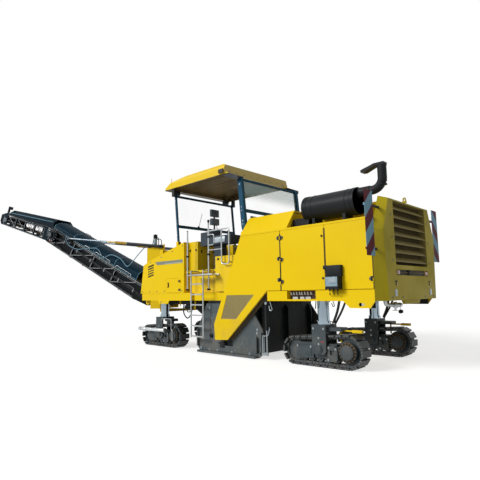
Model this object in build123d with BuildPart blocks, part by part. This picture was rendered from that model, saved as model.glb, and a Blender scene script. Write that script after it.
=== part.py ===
from build123d import *
import os
from math import atan2, cos, degrees, hypot, radians, sin

os.makedirs("parts", exist_ok=True)

# Cold planer milling machine, millimetres.  +X is forward, +Y is left, +Z is up.
# The origin is on the ground, on the middle plane, directly below the drum's axis.

# ---- driving dimensions -------------------------------------------------------
# drum box, edge plates and belt drive, from the middle plane out to the doors
box_half_x = 720            # half length of the drum box
box_half_y = 1060           # outer face of the box's side walls
box_wall = 25
plate_stand = 25            # from the box to an edge plate
plate_thick = 36
case_stand = 14             # from the left edge plate to the belt drive's case
case_depth = 67
gap = 8                     # running gap round doors and moving plates
sheet = 40                  # thickness of doors
slide_fit = 0.3             # radial clearance of tubes and pins in their bores
run_gap = 0.4               # side clearance of a sliding plate on its rails
plate_y = box_half_y + plate_stand
case_inner = plate_y + plate_thick + case_stand

# whole body
half_width = case_inner + case_depth + gap + sheet   # outer face of doors and skirts
hood_half_width = 1100      # outer face of the narrower front hood
rear_x = -3800              # rear face of the cowl at its foot
cowl_front_x = -3650        # joint between cowl and engine housing
front_x = 3585              # foot of the front hood's nose
hinge_radius = 7            # knuckles of the doors' hinges
hinge_stand = 9             # from a door's face to its hinge axis

# frame
skirt_bottom = 1204
skirt_top = 1400
jack_bottom = 1085          # foot of the jack brackets below the skirts
door_bottom = 1412
door_top = 2600
rear_frame_front = -1300    # where the full-width rear frame ends
front_frame_rear = 1300     # where the front frame starts
rail_inner = 520            # inner face of the front frame's rails
valve_pocket = (-2480, -1810)

# legs and tracks
leg_rear_x = -2470
leg_front_x = 2630
leg_rear_y = 1000
leg_front_y = 940
column_dia = 220
housing_dia = 256
housing_top = 2230
column_top = 1950
foot_top = 770
track_width = 300
hub_radius = 305            # over the shoes, at the drive end
idler_radius = 270          # over the shoes, at the idler end
hub_back = 550              # hub axis behind the leg axis
idler_ahead = 600           # idler axis ahead of the leg axis
shoe_count = 26
shoe_height = 38
chain_height = 46
chain_width = 110

# milling drum and its box
drum_axis_z = 620
drum_tip_dia = 1080
drum_shell_dia = 800
drum_length = 2 * (box_half_y - 80)
plate_bottom = 15
plate_top = 1140
plate_half_x = 1040
plate_up = 250              # how far a side plate floats up
pick_rows = 20
picks_per_row = 4

# conveyor
pivot_x = 3950              # slewing axis
slew = 22                   # degrees to the left, as it stands
belt_rise = 28.9            # degrees, lower section
tip_drop = 10.2             # degrees that the tip section lies flatter
belt_width = 800
conveyor_half = 480         # outer half width of the conveyor's frame
tip_length = 2560
lift_z = 1330               # height of the lift pin
tail_back = 560             # tail end behind the lift pin
tail_clearance = 40         # from the slewing tail's corner to the frame
rail_slant = 50             # degrees from the rear, where the front rails' corners are cut

portal_rear = 3180
portal_front = 3300
arm_low = (875, 945)        # lower slewing bearing
arm_high = (2560, 2640)     # upper slewing bearing
arm_radius = 110
pin_radius = 45

# canopy
roof_rear = 0
roof_front = 2320
roof_half = 1180
roof_under = 4165
roof_depth = 245
roof_top = roof_under + roof_depth
roof_sheet = 30
link_base_x = -500
link_base_z = 2690
link_top_x = -375
link_top_z = 3990
link_pitch = 2395           # distance from rear links to front links

# operator's platform
floor_z = 1950
floor_front = 1600
floor_half = 1050


def block(xs, ys, zs, mode=Mode.ADD):
    """A box between pairs of limits, in the open part's workplane."""
    centre = [(a + b) / 2 for a, b in (xs, ys, zs)]
    with Locations(tuple(centre)):
        Box(abs(xs[1] - xs[0]), abs(ys[1] - ys[0]), abs(zs[1] - zs[0]), mode=mode)


def side_of(plane, y):
    """The plane's own X-Z plane, at its left-hand distance y."""
    origin = plane.from_local_coords((0, y, 0))
    return Plane(origin=origin, x_dir=plane.x_dir, z_dir=plane.y_dir * -1)


def prism(points, y0, y1, plane=Plane.XY, mode=Mode.ADD):
    """An X-Z outline made solid from y0 to y1 (y1 the larger)."""
    with BuildSketch(side_of(plane, y1)) as outline:
        with BuildLine():
            Polyline(*points, close=True)
        make_face()
    extrude(outline.sketch, amount=y1 - y0, mode=mode)


def pin_y(x, z, radius, y0, y1, plane=Plane.XY, mode=Mode.ADD):
    """A cylinder across the machine, from y0 to y1."""
    with BuildSketch(side_of(plane, y1)) as disc:
        with Locations((x, z)):
            Circle(radius)
    extrude(disc.sketch, amount=y1 - y0, mode=mode)


def post(x, y, radius, z0, z1, mode=Mode.ADD):
    """An upright cylinder."""
    with BuildSketch(Plane.XY.offset(z0)) as disc:
        with Locations((x, y)):
            Circle(radius)
    extrude(disc.sketch, amount=z1 - z0, mode=mode)


def tube(points, radius, bend):
    """A round bar along points, with bends of one radius."""
    with BuildLine() as path:
        if len(points) > 2:
            FilletPolyline(*points, radius=bend)
        else:
            Line(*points)
    with BuildSketch(Plane(origin=path.line @ 0, z_dir=path.line % 0)) as ring:
        Circle(radius)
    sweep(ring.sketch, path=path.line)


def keep(builder, label):
    """Names a finished piece and writes it."""
    builder.part.label = label
    export_step(builder.part, f"parts/{label}.step")


# ---- main frame -----------------------------------------------------------------
leg_places = [(leg_front_x, leg_front_y), (leg_front_x, -leg_front_y),
              (leg_rear_x, leg_rear_y), (leg_rear_x, -leg_rear_y)]

with BuildPart() as main_frame:
    # full-width rear frame: side beams, cross beams and belly plate
    for side in (-1, 1):
        block((cowl_front_x, rear_frame_front), (side * 850, side * half_width), (skirt_bottom, skirt_top))
        block((rear_frame_front, front_frame_rear), (side * 760, side * 1035), (skirt_bottom, skirt_top))
        block((front_frame_rear, front_x - 60), (side * rail_inner, side * (hood_half_width - 10)),
              (skirt_bottom, skirt_top))
    block((cowl_front_x, cowl_front_x + 300), (-900, 900), (skirt_bottom, skirt_top))
    block((cowl_front_x, rear_frame_front + 20), (-900, 900), (skirt_bottom, skirt_bottom + 20))
    block((rear_frame_front - 180, rear_frame_front + 20), (-1050, 1050), (skirt_bottom, skirt_top))
    block((front_frame_rear - 20, front_frame_rear + 180), (-1050, 1050), (skirt_top - 40, skirt_top))
    block((-700, front_frame_rear), (-800, 800), (skirt_top - 30, skirt_top))
    # front rails' inner corners cut on a slant, clear of the conveyor's tail as it slews
    tail_reach = hypot(tail_back, conveyor_half) + tail_clearance
    slant = radians(rail_slant)
    corner_x, corner_y = front_x - 60 + 1, rail_inner - 1
    corner_out = (tail_reach - (pivot_x - corner_x) * cos(slant)) / sin(slant)
    corner_rear = pivot_x - (tail_reach - corner_y * sin(slant)) / cos(slant)
    for side in (-1, 1):
        with BuildSketch(Plane.XY.offset(skirt_bottom - 1)) as rail_corner:
            with BuildLine():
                Polyline((corner_x, side * corner_y), (corner_x, side * corner_out),
                         (corner_rear, side * corner_y), close=True)
            make_face()
        extrude(rail_corner.sketch, amount=skirt_top - skirt_bottom + 2, mode=Mode.SUBTRACT)
    # pocket for the water valves, in the left skirt
    block(valve_pocket, (half_width - 105, half_width + 1), (skirt_bottom + 35, skirt_top + 1),
          mode=Mode.SUBTRACT)
    # leg housings
    for x, y in leg_places:
        post(x, y, housing_dia / 2, skirt_bottom, housing_top)
    for x, y in leg_places:
        post(x, y, column_dia / 2 + slide_fit, jack_bottom - 20, housing_top - 20, mode=Mode.SUBTRACT)
    # portal that carries the conveyor's slewing pins, open for the pickup conveyor
    for side in (-1, 1):
        block((portal_rear, portal_front), (side * rail_inner, side * (rail_inner + 120)),
              (arm_low[0], arm_high[1]))
    for z0, z1 in (arm_low, arm_high):
        block((portal_rear, portal_front), (-rail_inner, rail_inner), (z0, z1))
        block((portal_front - 10, pivot_x), (-arm_radius, arm_radius), (z0, z1))
        post(pivot_x, 0, arm_radius, z0, z1)
    for z0, z1 in (arm_low, arm_high):
        post(pivot_x, 0, pin_radius + slide_fit, z0 - 1, z1 + 1, mode=Mode.SUBTRACT)
keep(main_frame, "main_frame")


# ---- legs and tracks ---------------------------------------------------------------
def leg_column(x, y, label):
    """Lifting column: a chromed tube with the steering head at its foot."""
    with BuildPart() as column:
        post(x, y, column_dia / 2, foot_top + 60, column_top)
        post(x, y, column_dia / 2 + 20, foot_top + slide_fit, foot_top + 62)
    keep(column, label)


def loop_outline(x, shrink, hub_z=hub_radius, idler_z=idler_radius):
    """Sketch of the track's belt line round hub and idler, shrunk from the shoes' tips."""
    with BuildSketch(Plane.XZ) as hull:
        with Locations((x - hub_back, hub_z)):
            Circle(hub_radius - shrink)
        with Locations((x + idler_ahead, idler_z)):
            Circle(idler_radius - shrink)
        make_hull()
    return hull.sketch


def shoe_places():
    """Locations of the shoes round the loop of a track whose leg axis is at x = 0."""
    line = loop_outline(0, shoe_height).faces()[0].outer_wire()
    middle = Vector(0, 0, hub_radius)
    places = []
    for i in range(shoe_count):
        spot = line.position_at(i / shoe_count)
        ahead = line.tangent_at(i / shoe_count)
        out = Vector(0, 1, 0).cross(ahead)
        if out.dot(spot - middle) < 0:
            out = out * -1
        places.append(Plane(origin=spot + out * shoe_height / 2, x_dir=ahead, z_dir=out).location)
    return places, line.length / shoe_count


# one closed loop: a chain band with a shoe on each link
shoes, shoe_pitch = shoe_places()
with BuildPart() as track_pattern:
    extrude(loop_outline(0, shoe_height - 2), amount=chain_width / 2, both=True)
    extrude(loop_outline(0, shoe_height + chain_height), amount=chain_width, both=True, mode=Mode.SUBTRACT)
    with Locations(*shoes):
        Box(shoe_pitch * 0.84, track_width, shoe_height)
    block((-1200, 1200), (-track_width, track_width), (-100, 0), mode=Mode.SUBTRACT)


def track_loop(x, y, label):
    """The loop set below one leg."""
    with BuildPart() as loop:
        add(Pos(x, y, 0) * track_pattern.part)
    keep(loop, label)


# track frame with drive hub, idler, rollers and the yoke that hangs it from the leg
chain_inside = shoe_height + chain_height
carrier_face = track_width / 2 + 5
bracket_face = track_width / 2 + 42
with BuildPart() as carrier_pattern:
    block((-330, 470), (-120, 120), (165, 430))
    # drive hub with its motor and flange, and the idler
    pin_y(-hub_back, hub_radius, hub_radius - chain_inside - slide_fit, -50, 50)
    pin_y(-hub_back, hub_radius, 178, -138, 138)
    pin_y(-hub_back, hub_radius, 132, -carrier_face - 12, carrier_face + 12)
    block((-hub_back, -320), (-115, 115), (hub_radius - 80, hub_radius + 80))
    pin_y(idler_ahead, idler_radius, idler_radius - chain_inside - slide_fit, -50, 50)
    pin_y(idler_ahead, idler_radius, 60, -120, 120)
    block((460, idler_ahead), (-115, 115), (idler_radius - 50, idler_radius + 50))
    for i in range(5):
        pin_y(-280 + i * 175, chain_inside + 75 + slide_fit, 75, -52, 52)
    for side in (-1, 1):
        # cover of the tensioner ahead of the bracket, and the plate with a window behind it
        y0, y1 = sorted((side * 100, side * carrier_face))
        prism([(150, 150), (520, 150), (590, 220), (590, 330), (540, 380), (150, 380)], y0, y1)
        prism([(-150, 120), (-330, 120), (-360, 170), (-360, 330), (-300, 400), (-150, 400)], y0, y1)
        block((-285, -205), (side * 121, side * (carrier_face + 1)), (240, 320), mode=Mode.SUBTRACT)
        # bracket outside the shoes, up to the foot of the leg
        y0, y1 = sorted((side * (track_width / 2 + 12), side * bracket_face))
        prism([(-150, 300), (-100, 230), (100, 230), (150, 300), (150, foot_top), (-150, foot_top)], y0, y1)
        y0, y1 = sorted((side * 100, side * (bracket_face - 5)))
        prism([(-140, 300), (140, 300), (140, 370), (-140, 370)], y0, y1)
    block((-150, 150), (-bracket_face, bracket_face), (foot_top - 60, foot_top))
    block((-430, -149), (-110, 110), (foot_top - 110, foot_top - 45))
    pin_y(0, 330, 70, -bracket_face - 18, bracket_face + 18)

# steering cylinder on the outside of a front track, from the bracket's lug
with BuildPart() as cylinder_pattern:
    cylinder_y, cylinder_z = bracket_face + 62, 440
    block((-150, -60), (bracket_face - 1, cylinder_y + 30), (cylinder_z - 55, cylinder_z + 55))
    for x0, x1, radius in ((-340, 520, 46), (520, 700, 54), (700, 840, 26)):
        with BuildSketch(Plane.YZ.offset(x0)) as ring:
            with Locations((cylinder_y, cylinder_z)):
                Circle(radius)
        extrude(ring.sketch, amount=x1 - x0)
    pin_y(830, cylinder_z, 42, cylinder_y - 30, cylinder_y + 30)


def track_carrier(x, y, label):
    """The carrier set below one leg; a front one has its steering cylinder outside."""
    with BuildPart() as carrier:
        add(Pos(x, y, 0) * carrier_pattern.part)
        if x > 0:
            cylinder = cylinder_pattern.part if y > 0 else cylinder_pattern.part.mirror(Plane.XZ)
            add(Pos(x, y, 0) * cylinder)
    keep(carrier, label)


for (x, y), name in zip(leg_places, ("front_left", "front_right", "rear_left", "rear_right")):
    leg_column(x, y, f"leg_{name}")
    track_loop(x, y, f"track_{name}")
    track_carrier(x, y, f"carrier_{name}")


# ---- milling drum, its box, side plates and rear gate --------------------------------
with BuildPart() as milling_drum:
    pin_y(0, drum_axis_z, drum_shell_dia / 2, -drum_length / 2, drum_length / 2)
    pin_y(0, drum_axis_z, 90, -box_half_y - 20, box_half_y + 20)
    # picks in chevron rows, each on its holder
    picks = []
    for row in range(pick_rows):
        across = -drum_length / 2 + 60 + row * (drum_length - 120) / (pick_rows - 1)
        for start in range(picks_per_row):
            turn = start * 360 / picks_per_row + abs(across) * 0.19
            picks.append(Location((0, across, drum_axis_z), (0, turn, 0)))
    with Locations(*[spot * Pos(drum_shell_dia / 2 + 25, 0, 0) for spot in picks]):
        Box(90, 60, 110)
    with Locations(*[spot * Pos(drum_tip_dia / 2 - 40, 0, 0) for spot in picks]):
        Box(80, 26, 30)
keep(milling_drum, "milling_drum")

gate_x = -box_half_x - gap
gate_pin_x = gate_x - 20
gate_pin_z = 1150
gate_lugs = (-600, 600)

with BuildPart() as drum_housing:
    wall = [(-box_half_x, 360), (box_half_x, 360), (box_half_x, skirt_bottom),
            (-box_half_x, skirt_bottom)]
    for side in (-1, 1):
        y0, y1 = sorted((side * box_half_y, side * (box_half_y - box_wall)))
        prism(wall, y0, y1)
    block((box_half_x - box_wall, box_half_x), (-box_half_y, box_half_y), (700, skirt_bottom))
    block((-box_half_x, -box_half_x + box_wall), (-box_half_y, box_half_y), (1150, skirt_bottom))
    block((-box_half_x, box_half_x), (-box_half_y + 1, box_half_y - 1), (skirt_bottom - 40, skirt_bottom))
    for side in (-1, 1):
        y0, y1 = sorted((side * (box_half_y - box_wall - 1), side * (box_half_y + 20)))
        pin_y(0, drum_axis_z, 140, y0, y1)
        pin_y(0, drum_axis_z, 90 + slide_fit, y0 - 1, y1 + 1, mode=Mode.SUBTRACT)
    # rails that the edge plates slide on
    for x in (-600, 600):
        for side in (-1, 1):
            block((x - 45, x + 45), (side * (box_half_y - 1), side * (plate_y - run_gap)), (420, 1150))
    # lugs that carry the rear gate
    for y in gate_lugs:
        block((gate_pin_x - 26, -box_half_x + 5), (y - 16, y + 16), (gate_pin_z - 28, skirt_bottom))
        pin_y(gate_pin_x, gate_pin_z, 18 + slide_fit, y - 17, y + 17, mode=Mode.SUBTRACT)
keep(drum_housing, "drum_housing")

# belt pulley side of the drum: edge plates that float on the ground
plate_outline = [(-plate_half_x, plate_bottom + 90), (-plate_half_x + 130, plate_bottom),
                 (plate_half_x - 90, plate_bottom), (plate_half_x, plate_bottom + 110),
                 (plate_half_x, 560), (plate_half_x - 330, plate_top),
                 (-plate_half_x + 380, plate_top), (-plate_half_x, 600)]
for side, label in ((1, "side_plate_left"), (-1, "side_plate_right")):
    with BuildPart() as side_plate:
        y0, y1 = sorted((side * plate_y, side * (plate_y + plate_thick)))
        prism(plate_outline, y0, y1)
        # ribs along the front and rear edges
        for x0, x1 in ((-plate_half_x + 5, -plate_half_x + 45), (plate_half_x - 45, plate_half_x - 5)):
            outer_y = side * (plate_y + plate_thick)
            block((x0, x1), (outer_y, outer_y + side * 45), (140, 540))
        # skid that widens the foot outwards
        block((-plate_half_x + 140, plate_half_x - 95), (side * plate_y, side * 1235),
              (plate_bottom, plate_bottom + 45))
        # slot for the drum's shaft
        block((-150, 150), (side * (plate_y - 5), side * (plate_y + plate_thick + 5)),
              (drum_axis_z - 170 - plate_up, drum_axis_z + 250), mode=Mode.SUBTRACT)
    keep(side_plate, label)

with BuildPart() as rear_gate:
    block((gate_x - 40, gate_x), (-box_half_y + 40, box_half_y - 40), (60, gate_pin_z - 10))
    for y in (-900, 0, 900):
        prism([(gate_x - 40, 200), (gate_x - 40, 1100), (gate_x - 130, 1000), (gate_x - 130, 300)],
              y - 15, y + 15)
    for y in gate_lugs:
        block((gate_x - 60, gate_x + 20), (y - 24, y + 24), (gate_pin_z - 48, gate_pin_z + 40),
              mode=Mode.SUBTRACT)
    pin_y(gate_pin_x, gate_pin_z, 18, -box_half_y + 40, box_half_y - 40)
keep(rear_gate, "rear_gate")


# ---- front hood ------------------------------------------------------------------------
hood_rear = 1610
hood_sheet = 25
louvres = (2960, 3230)
hatch = (1749, 2360, 1412, 1775)   # rear, front, bottom, top
hood_side = [(hood_rear, skirt_top), (front_x, skirt_top), (3453, 2192), (3184, 2294), (hood_rear, 2695)]
with BuildPart() as front_hood:
    prism(hood_side, -hood_half_width, hood_half_width)
    inner = [(hood_rear + hood_sheet, 1300), (front_x + 100, 1300), (3433, 2192 - hood_sheet),
             (3174, 2294 - hood_sheet), (hood_rear + hood_sheet, 2695 - hood_sheet - 10)]
    prism(inner, -hood_half_width + hood_sheet, hood_half_width - hood_sheet, mode=Mode.SUBTRACT)
    # open nose in which the conveyor swings, and the way for the pickup conveyor
    block((2950, front_x + 200), (-1000, 1000), (1300, 2800), mode=Mode.SUBTRACT)
    block((hood_rear - 10, hood_rear + 60), (-500, 500), (1300, 1900), mode=Mode.SUBTRACT)
    # pocket and frame of the side hatch, on the left
    block((hatch[0] - 30, hatch[1] + 30), (hood_half_width - 2 * hood_sheet, hood_half_width - hood_sheet),
          (hatch[2] - 8, hatch[3] + 30))
    block((hatch[0] - 4, hatch[1] + 4), (hood_half_width - hood_sheet - slide_fit, hood_half_width + 1),
          (hatch[2] - 4, hatch[3] + 4), mode=Mode.SUBTRACT)
    block((hatch[0] + 30, hatch[1] - 30), (hood_half_width - 2 * hood_sheet - 1, hood_half_width),
          (hatch[2] + 30, hatch[3] - 30), mode=Mode.SUBTRACT)
    # slanting louvre slots near the nose
    for i in range(5):
        z = 1850 + i * 64
        for side in (-1, 1):
            y0, y1 = sorted((side * (hood_half_width - hood_sheet - 1), side * (hood_half_width + 1)))
            prism([(louvres[0], z + 50), (louvres[1], z), (louvres[1], z + 30), (louvres[0], z + 80)], y0, y1,
                  mode=Mode.SUBTRACT)
    # brackets of the canopy's front links
    for side in (-1, 1):
        for y in (1000, 1075):
            block((link_base_x + link_pitch - 40, link_base_x + link_pitch + 40), (side * y, side * (y + 25)),
                  (2560, link_base_z + 40))
        y0, y1 = sorted((side * 1000, side * 1100))
        pin_y(link_base_x + link_pitch, link_base_z, 20, y0, y1)
keep(front_hood, "front_hood")


def hinge_knuckles(x, face, side, toward, heights):
    """Knuckles outside a door's face; toward is +1 where the door lies ahead of its hinge."""
    for z in heights:
        post(x, side * (face + hinge_stand), hinge_radius, z, z + 70)
        block((x, x + toward * 45), (side * (face - 1), side * (face + hinge_stand)), (z, z + 70))


with BuildPart() as hood_hatch:
    block((hatch[0], hatch[1]), (hood_half_width - hood_sheet, hood_half_width), (hatch[2], hatch[3]))
    hinge_knuckles(hatch[0], hood_half_width, 1, 1, (hatch[2] + 40, hatch[3] - 110))
    block((hatch[1] - 90, hatch[1] - 60), (hood_half_width - 1, hood_half_width + 28), (1570, 1650))
keep(hood_hatch, "hood_hatch")


# ---- rear housing with door openings, doors and cowl --------------------------------------
housing_front = -565
pillar = 45
hood_top = 3035
recess_front = -1800
recess_floor = 2604
shoulder_z = 2640           # where the sides turn in towards the roof
crown_y = 960               # half width of the flat roof
door_spans = [("rear", -3644, -2716), ("middle", -2708, -1674), ("front", -1658, -565)]
with BuildPart() as rear_housing:
    half = half_width - sheet - slide_fit
    shell = [(-half, skirt_top), (half, skirt_top), (half, recess_floor), (half_width, recess_floor),
             (half_width, shoulder_z), (crown_y, hood_top), (-crown_y, hood_top), (-half_width, shoulder_z),
             (-half_width, recess_floor), (-half, recess_floor)]
    core = [(-half + sheet, skirt_top - 1), (half - sheet, skirt_top - 1), (half - sheet, 2560),
            (crown_y - 25, hood_top - sheet), (25 - crown_y, hood_top - sheet), (-half + sheet, 2560)]
    with BuildSketch(Plane.YZ.offset(cowl_front_x)) as outside:
        with BuildLine():
            Polyline(*shell, close=True)
        make_face()
    extrude(outside.sketch, amount=housing_front - cowl_front_x)
    with BuildSketch(Plane.YZ.offset(cowl_front_x + sheet)) as inside:
        with BuildLine():
            Polyline(*core, close=True)
        make_face()
    extrude(inside.sketch, amount=housing_front - cowl_front_x - 2 * sheet, mode=Mode.SUBTRACT)
    for name, x0, x1 in door_spans:
        for side in (-1, 1):
            block((x0 + pillar, x1 - pillar), (side * 1100, side * 1300), (door_bottom + 40, 2550),
                  mode=Mode.SUBTRACT)
    # recess for the silencer, on the left
    block((cowl_front_x, recess_front), (460, half_width), (recess_floor, recess_floor + sheet))
    block((cowl_front_x, recess_front), (460, 500), (recess_floor, hood_top))
    block((recess_front - sheet, recess_front), (460, 1000), (recess_floor, hood_top - 60))
    block((cowl_front_x - 1, recess_front - sheet), (500, 1400), (recess_floor + sheet, hood_top + 10),
          mode=Mode.SUBTRACT)
    # brackets of the canopy's rear links
    for side in (-1, 1):
        for y in (1000, 1100):
            block((housing_front - 5, link_base_x + 40), (side * y, side * (y + 25)),
                  (link_base_z - 80, link_base_z + 40))
        y0, y1 = sorted((side * 1000, side * 1125))
        pin_y(link_base_x, link_base_z, 20, y0, y1)
keep(rear_housing, "rear_housing")

def door_outline(name, x0, x1, hand):
    """Outline of a side door; the left front one reaches down over the drum's belt drive."""
    if name != "front":
        return [(x0, door_bottom), (x1, door_bottom), (x1, door_top), (x0, door_top)]
    if hand == "left":
        return [(x0, door_bottom), (-1290, door_bottom), (-110, 350), (290, 330), (318, 680),
                (x1, door_top), (x0, door_top)]
    return [(x0, door_bottom), (x1 + 450, door_bottom), (x1, door_top), (x0, door_top)]


# perforated panel in the left front door, over the belt drive
mesh_panel = [(-940, 1335), (-110, 1330), (90, 800), (-390, 810)]
mesh_depth = 12
for name, x0, x1 in door_spans:
    for side, hand in ((1, "left"), (-1, "right")):
        y0, y1 = sorted((side * (half_width - sheet), side * half_width))
        hinge_x, toward = (x1, -1) if name == "middle" else (x0, 1)
        with BuildPart() as door:
            prism(door_outline(name, x0, x1, hand), y0, y1)
            if name == "front" and hand == "left":
                prism(mesh_panel, half_width - mesh_depth, half_width + 1, mode=Mode.SUBTRACT)
            hinge_knuckles(hinge_x, half_width, side, toward, (door_bottom + 110, 1970, door_top - 180))
        keep(door, f"door_{hand}_{name}")

# closed case of the belt drive, between the left edge plate and its door
with BuildPart() as belt_case:
    prism([(-1280, skirt_top), (-105, 372), (272, 352), (298, 670), (-30, skirt_top)],
          case_inner, half_width - sheet - gap)
    pin_y(0, drum_axis_z, 80, box_half_y + 20 + slide_fit, case_inner + 5)
keep(belt_case, "belt_case")

grille_half = 700
slat_count = 7
slat_pitch = 156
with BuildPart() as rear_cowl:
    foot = [(-1250, skirt_bottom), (1250, skirt_bottom), (1250, 2440), (950, 3035), (-950, 3035),
            (-1250, 2440)]
    nose = [(-1040, skirt_bottom), (1040, skirt_bottom), (1110, 2400), (880, 2985), (-880, 2985),
            (-1110, 2400)]
    with BuildSketch(Plane.YZ.offset(cowl_front_x)) as ring:
        with BuildLine():
            Polyline(*foot, close=True)
        make_face()
    with BuildSketch(Plane.YZ.offset(rear_x)) as face:
        with BuildLine():
            Polyline(*nose, close=True)
        make_face()
    loft([ring.sketch.face(), face.sketch.face()])
    block((rear_x - 10, cowl_front_x + 10), (-grille_half, grille_half), (1820, 2960), mode=Mode.SUBTRACT)
    for i in range(slat_count):
        z = 1880 + i * slat_pitch
        prism([(rear_x + 4, z), (rear_x + 22, z - 6), (cowl_front_x - 20, z + 84), (cowl_front_x - 36, z + 90)],
              -grille_half - 1, grille_half + 1)
    # recess of the tail lamps, lifting eye on top, bracket below
    block((rear_x - 10, rear_x + 35), (-grille_half, grille_half), (1640, 1740), mode=Mode.SUBTRACT)
    for y in (-620, 620):
        block((rear_x + 12, rear_x + 36), (y - 75, y + 75), (1652, 1728))
    prism([(-3760, 3020), (-3680, 3020), (-3700, 3125), (-3740, 3125)], -18, 18)
    pin_y(-3720, 3080, 20, -19, 19, mode=Mode.SUBTRACT)
    with BuildSketch(Plane.YZ.offset(rear_x + 40)) as hitch:
        with BuildLine():
            Polyline((-360, skirt_bottom + 1), (360, skirt_bottom + 1), (290, skirt_bottom - 75),
                     (-290, skirt_bottom - 75), close=True)
        make_face()
    extrude(hitch.sketch, amount=60)
keep(rear_cowl, "rear_cowl")

with BuildPart() as engine_block:
    block((-3000, -1500), (-520, 520), (skirt_bottom + 20, 2350))
keep(engine_block, "engine_block")

# silencer drum with its elbow pipe
muffler_axis = (900, 3010)
flap_half = 70              # half width of the rain flap
tail_pipe_x = -3735
tail_pipe_z = muffler_axis[1] + 150
tail_pipe_radius = 80
with BuildPart() as muffler:
    with BuildSketch(Plane.YZ.offset(-3260)) as can:
        with Locations(muffler_axis):
            Circle(250)
    extrude(can.sketch, amount=1110)
    for x0, x1, radius in ((-3268, -3230, 256), (-2190, -2142, 256), (-2150, -2100, 180)):
        with BuildSketch(Plane.YZ.offset(x0)) as band:
            with Locations(muffler_axis):
                Circle(radius)
        extrude(band.sketch, amount=x1 - x0)
    for x in (-3050, -2380):
        block((x, x + 60), (760, 1040), (recess_floor + sheet, 2900))
    with BuildSketch(Plane.YZ.offset(-3500)) as neck:
        with Locations((muffler_axis[0], tail_pipe_z)):
            Circle(tail_pipe_radius + 10)
    extrude(neck.sketch, amount=300)
    tube([(-3400, muffler_axis[0], tail_pipe_z), (tail_pipe_x, muffler_axis[0], tail_pipe_z),
          (tail_pipe_x, muffler_axis[0], 3590)], tail_pipe_radius, 200)
    # rain flap, open over the mouth, and the intake box ahead of the can
    prism([(-3800, 3575), (-3650, 3585), (-3540, 3545), (-3420, 3500), (-3360, 3505), (-3350, 3545),
           (-3400, 3565), (-3500, 3590), (-3620, 3625), (-3800, 3625)],
          muffler_axis[0] - flap_half, muffler_axis[0] + flap_half)
    block((-2230, recess_front - sheet - slide_fit), (780, 1030), (recess_floor + sheet + slide_fit, 2830))
keep(muffler, "muffler")


# ---- operator's platform ------------------------------------------------------------------
with BuildPart() as platform:
    block((housing_front + 2, floor_front), (-950, 950), (skirt_top, floor_z - 50))
    block((housing_front + 2, floor_front), (-floor_half, floor_half), (floor_z - 50, floor_z))
    for side in (-1, 1):
        # lockers behind the ladders and the front bulkhead's wings
        block((housing_front + 110, 450), (side * 950, side * 1075), (skirt_top + 15, 2240))
        block((1240, floor_front), (side * 300, side * 950), (floor_z, 2690))
    block((floor_front - 60, floor_front), (-950, 950), (floor_z, 2690))
keep(platform, "platform")

with BuildPart() as consoles:
    for side in (-1, 1):
        block((100, 1180), (side * 560, side * 900), (2560, 2760))
        block((500, 760), (side * 640, side * 820), (floor_z, 2560))
        block((800, 1180), (side * 560, side * 900), (2760, 2900))
    # camera screens on a stalk, at the left console
    block((845, 875), (705, 735), (2899, 3300))
    block((810, 895), (600, 840), (3080, 3240))
    block((830, 880), (590, 850), (3290, 3470))
keep(consoles, "consoles")

with BuildPart() as seats:
    for side in (-1, 1):
        y0, y1 = sorted((side * 460, side * 900))
        block((-380, 60), (y0, y1), (2360, 2460))
        prism([(-330, 2460), (-250, 2460), (-330, 2950), (-410, 2950)], y0, y1)
        block((-260, -60), (side * 590, side * 770), (floor_z, 2360))
keep(seats, "seats")

# stainless ladders: stiles, rungs and the top step, left and right
ladder_x = (650, 1090)
with BuildPart() as ladders:
    for side in (-1, 1):
        y = side * 1290
        for x in ladder_x:
            tube([(x, y, 340), (x, y, 1930)], 18, 0)
            tube([(x, side * (floor_half + slide_fit), 1915), (x, y, 1915)], 14, 0)
        for i in range(6):
            block(ladder_x, (y - 25, y + 25), (360 + i * 245, 385 + i * 245))
keep(ladders, "ladders")

rail_post_x = 604
with BuildPart() as handrails:
    for side in (-1, 1):
        y = side * 1150
        for x, high in ((1400, 2950), (rail_post_x, 3070)):
            tube([(x, side * (floor_half + slide_fit), 1925), (x, y, 1925)], 14, 0)
            tube([(x, y, 1450), (x, y, high)], 19, 0)
        # top rail with two legs on the locker, middle rail, and the grab loop at the post
        tube([(-100, side * 1075.3, 2080), (-100, y, 2080), (-100, y, 2860), (rail_post_x, y, 2860)], 16, 40)
        tube([(150, side * 1075.3, 2080), (150, y, 2080), (150, y, 2860)], 16, 40)
        tube([(150, y, 2400), (rail_post_x, y, 2400)], 14, 0)
        tube([(rail_post_x, y, 2770), (410, y, 2770), (410, y, 2520), (rail_post_x, y, 2520)], 12, 50)
keep(handrails, "handrails")


# ---- canopy: two pairs of links carry the roof ------------------------------------------------
link_lean = degrees(atan2(link_top_x - link_base_x, link_top_z - link_base_z))
link_length = hypot(link_top_x - link_base_x, link_top_z - link_base_z)
link_foot = 34              # half depth of a link's foot, which turns clear of the housing


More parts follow.
